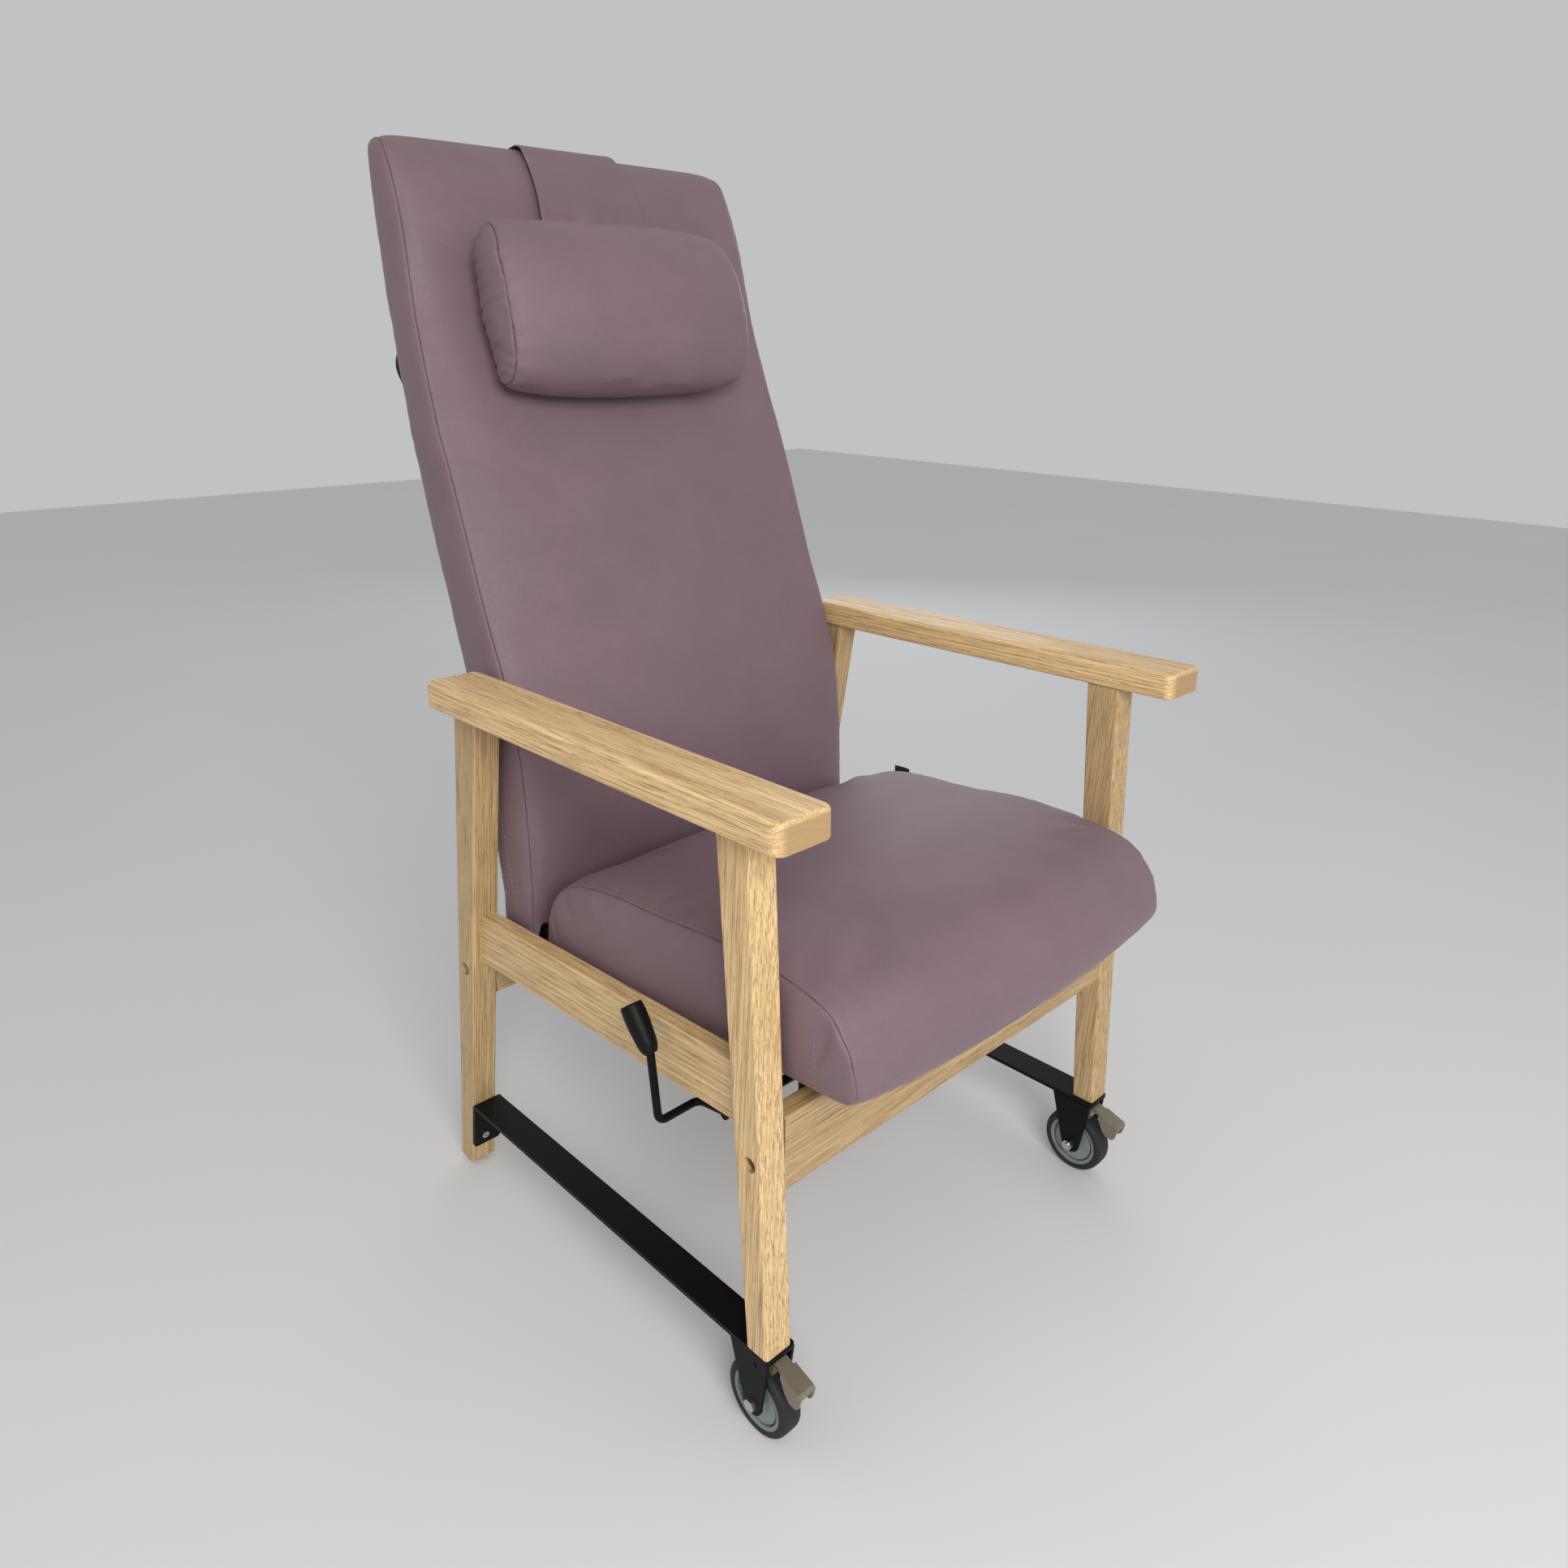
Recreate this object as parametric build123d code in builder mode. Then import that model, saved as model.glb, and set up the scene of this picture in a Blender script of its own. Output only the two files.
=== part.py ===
"""High-backed patient recliner: oak side frames, front wheels, gas-spring back, hung head pillow.

Millimetres. X runs to the sitter's left, -Y is the front, Z is up from the floor.
The origin is on the floor, under the middle of the chair's box.
"""
from math import atan2, cos, degrees, hypot, radians, sin, tan
import os

from build123d import *

os.makedirs("parts", exist_ok=True)

SIDES = {"left": 1, "right": -1}

# ---------------------------------------------------------------- oak frame
LEG_IN, LEG_OUT = 258.5, 290.0  # distances of the legs' faces from the middle
ARM_WIDTH, ARM_THICK = 62.0, 28.0
ARM_X = 286.0  # middle of an armrest
ARM_FRONT_Y, ARM_REAR_Y = -358.0, 172.0
ARM_FRONT_Z, ARM_REAR_Z = 665.0, 658.0  # top face
GLIDE_H = 3.0  # nylon glide under each rear leg
RAIL_IN, RAIL_OUT = 259.2, 279.2  # side rails
FRONT_RAIL_Y, FRONT_RAIL_THICK = -309.7, 22.0
FRONT_RAIL_Z = (277.5, 355.5)
REAR_RAIL_Y, REAR_RAIL_THICK = 181.0, 26.0
REAR_RAIL_Z = (259.5, 337.0)
FRONT_BOLT = (-297.5, 316.5)  # (y, z) of the frame bolts
REAR_BOLT = (194.0, 298.0)
BOLT_R = 4.0
DOWEL_R = 4.0

# ---------------------------------------------------------------- steel bars and wheels
BAR_IN, BAR_THICK = 254.5, 5.0
BAR_REAR_Z, BAR_SLOPE = 99.8, 0.0177  # top face at the rear leg, rise towards the front
BAR_FRONT_Y = -322.7
TAB_BOTTOM_Z = 33.0
WHEEL_X, WHEEL_Y, WHEEL_R, WHEEL_WIDTH = 271.5, -299.0, 40.0, 24.0
EAR_GAP, EAR_THICK = 29.0, 3.0
AXLE_R = 4.0
PEDAL_PIN = (-303.0, 90.5)
PEDAL_PIN_R = 2.5

# ---------------------------------------------------------------- seat and back
SEAT_HALF = 247.0
SEAT_SLOPE = 4.6  # degrees, front up
SEAT_FRONT_BOTTOM_Z = 386.0
PAN_THICK = 12.0
BACK_BOTTOM_Z = 366.0
BACK_TOP_Z = 1191.0
BACK_HALF = ((366.0, 250.0), (900.0, 245.0), (1192.0, 225.5))  # (z, half width)
COVER_THICK, BOARD_THICK = 3.0, 12.0
HINGE = (193.0, 425.0)  # (y, z) of the back's hinge axis
HINGE_PIN_R = 5.0
HINGE_X = 150.0
RECLINE = 24.0  # degrees of travel

# ---------------------------------------------------------------- gas spring and lever
SPRING_X = -120.0
SPRING_FRONT = (-225.0, 310.0)  # (y, z), also the release shaft's axis
SPRING_REAR = (166.0, 335.0)
SPRING_PIN_R, SPRING_EYE_R = 4.0, 7.1
SHAFT_R = 5.0
LEVER_X, LEVER_TAIL_X = -300.0, -251.0
LEVER_ROD_R = 4.0
RUN = 0.06  # radial clearance of every turning or sliding fit

# ---------------------------------------------------------------- handle and pillow
HANDLE_HALF, HANDLE_R, HANDLE_Y, HANDLE_Z = 210.0, 12.5, 372.5, 980.0
PILLOW_X, PILLOW_AT, PILLOW_TILT = (-180.0, 150.0), (208.0, 1021.0), 15.0
STRAP_X, STRAP_THICK = (-75.0, 70.0), 2.5


def export(part, name):
    part.label = name
    export_step(part, f"parts/{name}.step")


def along(a, b, z):
    """y where the straight line from a to b, both (y, z), passes the height z."""
    return a[0] + (b[0] - a[0]) * (z - a[1]) / (b[1] - a[1])


def meet(a, b, c, d):
    """Crossing of the straight lines ab and cd, all points (y, z)."""
    u, v = (b[0] - a[0], b[1] - a[1]), (d[0] - c[0], d[1] - c[1])
    t = ((c[0] - a[0]) * v[1] - (c[1] - a[1]) * v[0]) / (u[0] * v[1] - u[1] * v[0])
    return (a[0] + t * u[0], a[1] + t * u[1])


def arm_top(y):
    return ARM_FRONT_Z + (ARM_REAR_Z - ARM_FRONT_Z) * (y - ARM_FRONT_Y) / (ARM_REAR_Y - ARM_FRONT_Y)


def arm_bottom(y):
    return arm_top(y) - ARM_THICK / cos(atan2(ARM_FRONT_Z - ARM_REAR_Z, ARM_REAR_Y - ARM_FRONT_Y))


def bar_top(y):
    return BAR_REAR_Z + (204.2 - y) * BAR_SLOPE


ARM_UNDER = ((ARM_FRONT_Y, arm_bottom(ARM_FRONT_Y)), (ARM_REAR_Y, arm_bottom(ARM_REAR_Y)))
BAR_LINE = ((-400.0, bar_top(-400.0)), (300.0, bar_top(300.0)))
FRONT_LEG_FRONT = ((-321.0, 109.0), (-295.2, 636.0))
FRONT_LEG_REAR = ((-293.0, 109.0), (-255.4, 636.0))
REAR_LEG_FRONT = ((224.7, 0.0), (121.9, 630.7))
REAR_LEG_REAR = ((252.4, 0.0), (163.8, 630.2))
leg_lean = atan2(REAR_LEG_FRONT[0][0] - REAR_LEG_FRONT[1][0], REAR_LEG_FRONT[1][1])


def tab_seat(s, height=49.0):
    """Plane on the rear leg's sloping front face, looking out of it, where the tab's screw is."""
    return Plane(origin=(s * 276.0, along(*REAR_LEG_FRONT, height), height), x_dir=(1, 0, 0),
                 z_dir=(0, -cos(leg_lean), -sin(leg_lean)))


def bar_seat(s, y=-307.0):
    """Plane on the side bar's top face under the front leg, looking down."""
    return Plane(origin=(s * (LEG_IN + LEG_OUT) / 2, y, bar_top(y)), x_dir=(1, 0, 0),
                 z_dir=(0, -BAR_SLOPE, -1))

# ================================================================ oak side frames
side_rail_top = ((-194.3, 396.0), (174.0, 372.4))
side_rail_bottom = ((-193.5, 333.8), (174.8, 311.2))
DOWEL_LENGTH = 32.0
dowel_spots = []
for low_line, high_line in ((side_rail_bottom, side_rail_top),):
    for leg_line, inward in ((FRONT_LEG_REAR, 1), (REAR_LEG_FRONT, -1)):
        low, high = meet(*low_line, *leg_line), meet(*high_line, *leg_line)
        for share in (0.28, 0.72):
            dowel_spots.append((low[0] + share * (high[0] - low[0]),
                                low[1] + share * (high[1] - low[1])))
rail_tilt = degrees(atan2(side_rail_top[0][1] - side_rail_top[1][1],
                          side_rail_top[1][0] - side_rail_top[0][0]))
rail_mid_x = (RAIL_IN + RAIL_OUT) / 2
leg_mid_x = (LEG_IN + LEG_OUT) / 2
arm_dowels_y = (along(*FRONT_LEG_FRONT, 636) + 19.0, along(*REAR_LEG_FRONT, 630) + 20.0)

for side, s in SIDES.items():
    rail_dowel_planes = [Plane(origin=(s * rail_mid_x, y, z), x_dir=(1, 0, 0),
                               z_dir=(0, cos(radians(rail_tilt)), -sin(radians(rail_tilt))))
                         for y, z in dowel_spots]

    with BuildPart() as front_leg:
        with BuildSketch(Plane.YZ.offset(LEG_IN if s > 0 else -LEG_OUT)):
            with BuildLine():
                Polyline(meet(*FRONT_LEG_FRONT, *BAR_LINE), meet(*FRONT_LEG_REAR, *BAR_LINE),
                         meet(*FRONT_LEG_REAR, *ARM_UNDER), meet(*FRONT_LEG_FRONT, *ARM_UNDER),
                         close=True)
            make_face()
        extrude(amount=LEG_OUT - LEG_IN)
        fillet([e for e in front_leg.edges() if e.length > 300], radius=3)
        for plane in rail_dowel_planes[:2]:
            with BuildSketch(plane):
                Circle(DOWEL_R)
            extrude(amount=DOWEL_LENGTH / 2, both=True, mode=Mode.SUBTRACT)
        with Locations(Plane.YZ.offset(s * LEG_OUT) * Pos(*FRONT_BOLT)):
            Cylinder(radius=7.5, height=20, mode=Mode.SUBTRACT)
            Cylinder(radius=BOLT_R + 0.25, height=80, mode=Mode.SUBTRACT)
        for z in (297.0, 336.0):
            with Locations(Plane.YZ.offset(s * LEG_IN) * Pos(FRONT_BOLT[0], z)):
                Cylinder(radius=DOWEL_R, height=DOWEL_LENGTH, mode=Mode.SUBTRACT)
        with Locations((s * leg_mid_x, arm_dowels_y[0], arm_bottom(arm_dowels_y[0]))):
            Cylinder(radius=DOWEL_R, height=DOWEL_LENGTH, mode=Mode.SUBTRACT)
        with Locations(bar_seat(s)):
            Cylinder(radius=2.5, height=60, mode=Mode.SUBTRACT)
    export(front_leg.part, f"front_leg_{side}")

    with BuildPart() as back_leg:
        with BuildSketch(Plane.YZ.offset(LEG_IN if s > 0 else -LEG_OUT)):
            with BuildLine():
                Polyline((along(*REAR_LEG_FRONT, GLIDE_H), GLIDE_H),
                         (along(*REAR_LEG_REAR, GLIDE_H), GLIDE_H),
                         meet(*REAR_LEG_REAR, *ARM_UNDER), meet(*REAR_LEG_FRONT, *ARM_UNDER),
                         close=True)
            make_face()
        extrude(amount=LEG_OUT - LEG_IN)
        chamfer(back_leg.faces().sort_by(Axis.Z)[0].edges(), length=3)
        fillet([e for e in back_leg.edges() if e.length > 300], radius=2.5)
        for plane in rail_dowel_planes[2:]:
            with BuildSketch(plane):
                Circle(DOWEL_R)
            extrude(amount=DOWEL_LENGTH / 2, both=True, mode=Mode.SUBTRACT)
        with Locations(Plane.YZ.offset(s * LEG_OUT) * Pos(*REAR_BOLT)):
            Cylinder(radius=7.5, height=20, mode=Mode.SUBTRACT)
            Cylinder(radius=BOLT_R + 0.25, height=80, mode=Mode.SUBTRACT)
        for z in (279.0, 317.0):
            with Locations(Plane.YZ.offset(s * LEG_IN) * Pos(REAR_BOLT[0], z)):
                Cylinder(radius=DOWEL_R, height=DOWEL_LENGTH, mode=Mode.SUBTRACT)
        with Locations((s * leg_mid_x, arm_dowels_y[1], arm_bottom(arm_dowels_y[1]))):
            Cylinder(radius=DOWEL_R, height=DOWEL_LENGTH, mode=Mode.SUBTRACT)
        with Locations((s * leg_mid_x, 238.5, GLIDE_H)):
            Cylinder(radius=3, height=24, mode=Mode.SUBTRACT)
        with Locations(tab_seat(s)):
            Cylinder(radius=2.5, height=50, mode=Mode.SUBTRACT)
    export(back_leg.part, f"back_leg_{side}")

    with BuildPart() as side_rail:
        with BuildSketch(Plane.YZ.offset(RAIL_IN if s > 0 else -RAIL_OUT)):
            with BuildLine():
                Polyline(meet(*side_rail_bottom, *FRONT_LEG_REAR),
                         meet(*side_rail_bottom, *REAR_LEG_FRONT),
                         meet(*side_rail_top, *REAR_LEG_FRONT),
                         meet(*side_rail_top, *FRONT_LEG_REAR), close=True)
            make_face()
        extrude(amount=RAIL_OUT - RAIL_IN)
        fillet([e for e in side_rail.edges() if e.length > 300], radius=2.5)
        for plane in rail_dowel_planes:
            with BuildSketch(plane):
                Circle(DOWEL_R)
            extrude(amount=DOWEL_LENGTH / 2, both=True, mode=Mode.SUBTRACT)
    export(side_rail.part, f"side_rail_{side}")

    arm_length = hypot(ARM_REAR_Y - ARM_FRONT_Y, ARM_FRONT_Z - ARM_REAR_Z)
    arm_mid_y = (ARM_FRONT_Y + ARM_REAR_Y) / 2
    arm_plane = Plane(origin=(s * ARM_X, arm_mid_y, arm_top(arm_mid_y)), x_dir=(1, 0, 0),
                      z_dir=(0, ARM_FRONT_Z - ARM_REAR_Z, ARM_REAR_Y - ARM_FRONT_Y))
    with BuildPart() as armrest:
        with BuildSketch(arm_plane):
            RectangleRounded(ARM_WIDTH, arm_length, 11)
        extrude(amount=-ARM_THICK)
        fillet(armrest.faces().sort_by(Axis.Z)[-1].edges(), radius=5)
        fillet(armrest.faces().sort_by(Axis.Z)[0].edges(), radius=3)
        for y in arm_dowels_y:
            with Locations((s * leg_mid_x, y, arm_bottom(y))):
                Cylinder(radius=DOWEL_R, height=DOWEL_LENGTH, mode=Mode.SUBTRACT)
    export(armrest.part, f"armrest_{side}")

# ================================================================ wood screws of the frame
BEARER_X, BEARER_FLANGE, BEARER_WALL, BEARER_DEPTH = 192.0, 25.0, 4.0, 36.0
front_rail_rear = FRONT_RAIL_Y + FRONT_RAIL_THICK
bearer_screw_x = BEARER_X + BEARER_FLANGE / 2 + 2
with BuildPart() as frame_screws:  # ten alike: seat bearers, spring bracket, hinge brackets
    seats = [Plane(origin=(s * bearer_screw_x, front_rail_rear + 4, 338.0),
                   x_dir=(1, 0, 0), z_dir=(0, 1, 0)) for s in (1, -1)]
    seats += [Plane(origin=(s * bearer_screw_x, REAR_RAIL_Y - 4, 320.0),
                    x_dir=(1, 0, 0), z_dir=(0, -1, 0)) for s in (1, -1)]
    seats += [Plane(origin=(SPRING_X + dx, front_rail_rear + 4, 315.0),
                    x_dir=(1, 0, 0), z_dir=(0, 1, 0)) for dx in (-23, 23)]
    seats += [Plane(origin=(s * HINGE_X + dx, 194.0, REAR_RAIL_Z[1] + 4))
              for s in (1, -1) for dx in (-14, 14)]
    for seat in seats:
        with Locations(seat):
            Cylinder(radius=2.5, height=20, align=(Align.CENTER, Align.CENTER, Align.MAX))
            Cylinder(radius=4.5, height=2.6, align=(Align.CENTER, Align.CENTER, Align.MIN))
        with BuildSketch(seat.offset(2.6)):
            RegularPolygon(radius=1.9, side_count=6)
        extrude(amount=-1.5, mode=Mode.SUBTRACT)
export(frame_screws.part, "frame_screws")

# ================================================================ cross rails and their fixings
for name, y0, thick, zs, bolt, nut_side, dowel_zs in (
        ("front_cross_rail", FRONT_RAIL_Y, FRONT_RAIL_THICK, FRONT_RAIL_Z, FRONT_BOLT, 1,
         (297.0, 336.0)),
        ("rear_cross_rail", REAR_RAIL_Y, REAR_RAIL_THICK, REAR_RAIL_Z, REAR_BOLT, -1,
         (279.0, 317.0))):
    with BuildPart() as cross_rail:
        with Locations((0, y0 + thick / 2, sum(zs) / 2)):
            Box(2 * LEG_IN, thick, zs[1] - zs[0])
        fillet(cross_rail.edges().filter_by(Axis.X), radius=2)
        for s in (1, -1):
            with Locations(Plane.YZ.offset(s * LEG_IN) * Pos(*bolt)):
                Cylinder(radius=BOLT_R + 0.25, height=120, mode=Mode.SUBTRACT)
            for z in dowel_zs:
                with Locations(Plane.YZ.offset(s * LEG_IN) * Pos(bolt[0], z)):
                    Cylinder(radius=DOWEL_R, height=DOWEL_LENGTH, mode=Mode.SUBTRACT)
            with Locations(Plane.XZ.offset(-(y0 + thick / 2 + nut_side * 5)) * Pos(s * (LEG_IN - 38), bolt[1])):
                Cylinder(radius=6, height=30, mode=Mode.SUBTRACT)
        add(frame_screws.part, mode=Mode.SUBTRACT)
    export(cross_rail.part, name)

with BuildPart() as frame_bolts:  # four identical bolts, heads sunk in the legs
    for s in (1, -1):
        for bolt in (FRONT_BOLT, REAR_BOLT):
            with Locations(Plane.YZ.offset(s * (LEG_OUT - 10)) * Pos(*bolt)):
                Cylinder(radius=BOLT_R, height=62, align=(Align.CENTER, Align.CENTER,
                         Align.MAX if s > 0 else Align.MIN))
                Cylinder(radius=6.5, height=5, align=(Align.CENTER, Align.CENTER,
                         Align.MIN if s > 0 else Align.MAX))
            with BuildSketch(Plane.YZ.offset(s * (LEG_OUT - 5)) * Pos(*bolt)):
                RegularPolygon(radius=2.9, side_count=6)
            extrude(amount=-s * 3, mode=Mode.SUBTRACT)
export(frame_bolts.part, "frame_bolts")

with BuildPart() as barrel_nuts:
    for s in (1, -1):
        for y, z, length in ((FRONT_RAIL_Y + FRONT_RAIL_THICK / 2, FRONT_BOLT[1], 20),
                             (REAR_RAIL_Y + REAR_RAIL_THICK / 2, REAR_BOLT[1], 20)):
            with Locations(Plane.XZ.offset(-y) * Pos(s * (LEG_IN - 38), z)):
                Cylinder(radius=6, height=length)
    for s in (1, -1):
        for bolt in (FRONT_BOLT, REAR_BOLT):
            with Locations(Plane.YZ.offset(s * (LEG_IN - 38)) * Pos(*bolt)):
                Cylinder(radius=BOLT_R, height=14, mode=Mode.SUBTRACT)
export(barrel_nuts.part, "barrel_nuts")

with BuildPart() as joint_dowels:  # beech dowels in every glued oak joint
    for s in (1, -1):
        for y, z in dowel_spots:
            with BuildSketch(Plane(origin=(s * rail_mid_x, y, z), x_dir=(1, 0, 0),
                                   z_dir=(0, cos(radians(rail_tilt)), -sin(radians(rail_tilt))))):
                Circle(DOWEL_R)
            extrude(amount=DOWEL_LENGTH / 2, both=True)
        for bolt, zs in ((FRONT_BOLT, (297.0, 336.0)), (REAR_BOLT, (279.0, 317.0))):
            for z in zs:
                with Locations(Plane.YZ.offset(s * LEG_IN) * Pos(bolt[0], z)):
                    Cylinder(radius=DOWEL_R, height=DOWEL_LENGTH)
        for y in arm_dowels_y:
            with Locations((s * leg_mid_x, y, arm_bottom(y))):
                Cylinder(radius=DOWEL_R, height=DOWEL_LENGTH)
export(joint_dowels.part, "joint_dowels")

with BuildPart() as rear_glides:
    for s in (1, -1):
        with Locations((s * leg_mid_x, 238.5, 0)):
            Cylinder(radius=9, height=GLIDE_H, align=(Align.CENTER, Align.CENTER, Align.MIN))
            Cylinder(radius=3, height=14, align=(Align.CENTER, Align.CENTER, Align.MIN))
    fillet(rear_glides.edges().filter_by(GeomType.CIRCLE).group_by(Axis.Z)[0], radius=1)
export(rear_glides.part, "rear_glides")

# ================================================================ steel side bars, forks, wheels
tab_top_y = along(*REAR_LEG_FRONT, BAR_REAR_Z)
tab_low_y = along(*REAR_LEG_FRONT, TAB_BOTTOM_Z)
tab_y = BAR_THICK / cos(leg_lean)  # the tab's thickness measured along Y
fork_web_top = bar_top(WHEEL_Y) - BAR_THICK
ear_x = EAR_GAP / 2

with BuildPart() as bar_screws:  # wood screws: through the tabs, and up into the front legs
    for s in (1, -1):
        for seat in (tab_seat(s).offset(BAR_THICK), bar_seat(s).offset(BAR_THICK + EAR_THICK)):
            with Locations(seat):
                Cylinder(radius=2.5, height=29, align=(Align.CENTER, Align.CENTER, Align.MAX))
                Cylinder(radius=4.5, height=2.6, align=(Align.CENTER, Align.CENTER, Align.MIN))
            with BuildSketch(seat.offset(2.6)):
                RegularPolygon(radius=1.9, side_count=6)
            extrude(amount=-1.5, mode=Mode.SUBTRACT)
export(bar_screws.part, "bar_screws")

for side, s in SIDES.items():
    with BuildPart() as bar:
        with BuildSketch(Plane.YZ.offset(BAR_IN if s > 0 else -LEG_OUT)):
            with BuildLine():
                inner = meet((tab_top_y - tab_y, bar_top(tab_top_y)), (tab_low_y - tab_y, TAB_BOTTOM_Z),
                             (-400.0, bar_top(-400.0) - BAR_THICK), (300.0, bar_top(300.0) - BAR_THICK))
                Polyline((BAR_FRONT_Y, bar_top(BAR_FRONT_Y)), (tab_top_y, bar_top(tab_top_y)),
                         (tab_low_y, TAB_BOTTOM_Z), (tab_low_y - tab_y, TAB_BOTTOM_Z),
                         inner, (BAR_FRONT_Y, bar_top(BAR_FRONT_Y) - BAR_THICK), close=True)
            make_face()
        extrude(amount=LEG_OUT - BAR_IN)
        corner = bar.edges().filter_by(Axis.X).sort_by(
            lambda e: (e.center().Y - tab_top_y) ** 2 + (e.center().Z - BAR_REAR_Z) ** 2)[0]
        fillet(corner, radius=4)
        ends = bar.edges().filter_by(lambda e: abs(e.length - BAR_THICK) < 0.4)
        fillet([e for e in ends if e.center().Y < BAR_FRONT_Y + 1 or e.center().Z < 36], radius=4)
        with Locations(bar_seat(s), tab_seat(s)):
            Cylinder(radius=2.7, height=16, mode=Mode.SUBTRACT)
        add(bar_screws.part, mode=Mode.SUBTRACT)
    export(bar.part, f"side_bar_{side}")

    with BuildPart() as fork:  # U bracket welded under the bar
        with BuildSketch(Plane.YZ.offset(s * WHEEL_X - ear_x - EAR_THICK)):
            with BuildLine():
                Polyline((-269.0, bar_top(-269.0) - BAR_THICK), (-288.5, 36.0))
                ThreePointArc((-288.5, 36.0), (-300.0, 28.6), (-311.0, 36.5))
                Polyline((-311.0, 36.5), (-319.5, 92.0),
                         (-321.0, bar_top(-321.0) - BAR_THICK), (-269.0, bar_top(-269.0) - BAR_THICK))
            make_face()
        extrude(amount=EAR_GAP + 2 * EAR_THICK)
        with BuildSketch(Plane.YZ.offset(s * WHEEL_X - ear_x)):
            with BuildLine():
                low = -BAR_THICK - EAR_THICK
                Polyline((-340.0, bar_top(-340.0) + low), (-250.0, bar_top(-250.0) + low),
                         (-250.0, 10.0), (-340.0, 10.0), close=True)
            make_face()
        extrude(amount=EAR_GAP, mode=Mode.SUBTRACT)
        with Locations(Plane.YZ.offset(s * WHEEL_X) * Pos(WHEEL_Y, WHEEL_R)):
            Cylinder(radius=AXLE_R, height=60, mode=Mode.SUBTRACT)
        with Locations(Plane.YZ.offset(s * WHEEL_X) * Pos(*PEDAL_PIN)):
            Cylinder(radius=PEDAL_PIN_R, height=60, mode=Mode.SUBTRACT)
        with Locations(bar_seat(s)):
            Cylinder(radius=2.7, height=24, mode=Mode.SUBTRACT)
    export(fork.part, f"wheel_fork_{side}")

    with BuildPart() as tyre:
        with BuildSketch(Plane.XZ):
            with BuildLine():
                half = WHEEL_WIDTH / 2
                Polyline((-half, 31.5), (half, 31.5), (half, 35.0))
                ThreePointArc((half, 35.0), (half - 1.6, 38.4), (half - 5.0, 39.7))
                ThreePointArc((half - 5.0, 39.7), (0, WHEEL_R), (5.0 - half, 39.7))
                ThreePointArc((5.0 - half, 39.7), (1.6 - half, 38.4), (-half, 35.0))
                Line((-half, 35.0), (-half, 31.5))
            make_face()
        revolve(axis=Axis.X)
    export(Pos(s * WHEEL_X, WHEEL_Y, WHEEL_R) * tyre.part, f"tyre_{side}")

    with BuildPart() as hub:
        with BuildSketch(Plane.XZ):
            with BuildLine():
                Polyline((-11.0, 31.5), (11.0, 31.5), (11.0, 27.8), (10.2, 27.2), (6.0, 27.0),
                         (6.0, 25.2), (9.5, 24.8), (9.5, 11.0), (-9.5, 11.0), (-9.5, 24.8),
                         (-6.0, 25.2), (-6.0, 27.0), (-10.2, 27.2), (-11.0, 27.8), close=True)
            make_face()
        revolve(axis=Axis.X)
    export(Pos(s * WHEEL_X, WHEEL_Y, WHEEL_R) * hub.part, f"wheel_hub_{side}")

    with BuildPart() as bearings:  # two flanged plain bearings pressed into the hub
        for end in (1, -1):
            with Locations(Plane.YZ.offset(end * 4.75)):
                Cylinder(radius=11, height=9.5)
            with Locations(Plane.YZ.offset(end * 11.5)):
                Cylinder(radius=8, height=4)
        with Locations(Plane.YZ):
            Cylinder(radius=AXLE_R + 0.06, height=60, mode=Mode.SUBTRACT)
    export(Pos(s * WHEEL_X, WHEEL_Y, WHEEL_R) * bearings.part, f"hub_bearings_{side}")

    with BuildPart() as pedal:  # pressed steel brake pedal, a web with two deep flanges
        with BuildSketch(Plane.YZ.offset(s * WHEEL_X - 7)):
            with BuildLine():
                Polyline((-303.0, 96.0), (-311.5, 96.6), (-317.0, 99.0), (-318.0, 92.5),
                         (-316.5, 80.8), (-313.0, 80.8), (-308.0, 88.0), (-303.0, 85.0), close=True)
            make_face()
            with Locations(PEDAL_PIN):
                Circle(5.5)
        extrude(amount=14)
        with BuildSketch(Plane.YZ.offset(s * WHEEL_X - 7.5)):
            with BuildLine():
                Polyline((-316.0, 98.9), (-320.0, 99.5), (-352.0, 89.6))
                ThreePointArc((-352.0, 89.6), (-355.2, 87.8), (-356.5, 84.5))
                Polyline((-356.5, 84.5), (-353.0, 84.0), (-320.0, 95.0), (-316.0, 95.0),
                         (-316.0, 98.9))
            make_face()
        extrude(amount=15)
        for flange_x in (-10.0, 7.5):
            with BuildSketch(Plane.YZ.offset(s * WHEEL_X + flange_x)):
                with BuildLine():
                    Polyline((-330.0, 96.4), (-352.0, 89.6))
                    ThreePointArc((-352.0, 89.6), (-355.2, 87.8), (-356.5, 84.5))
                    Polyline((-356.5, 84.5), (-353.5, 73.0), (-350.0, 69.8), (-342.0, 70.8),
                             (-336.0, 77.5), (-330.0, 90.5), (-330.0, 96.4))
                make_face()
            extrude(amount=2.5)
        with Locations(Plane.YZ.offset(s * WHEEL_X) * Pos(*PEDAL_PIN)):
            Cylinder(radius=5.5, height=28)
            Cylinder(radius=PEDAL_PIN_R + 0.05, height=60, mode=Mode.SUBTRACT)
    export(pedal.part, f"brake_pedal_{side}")

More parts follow.
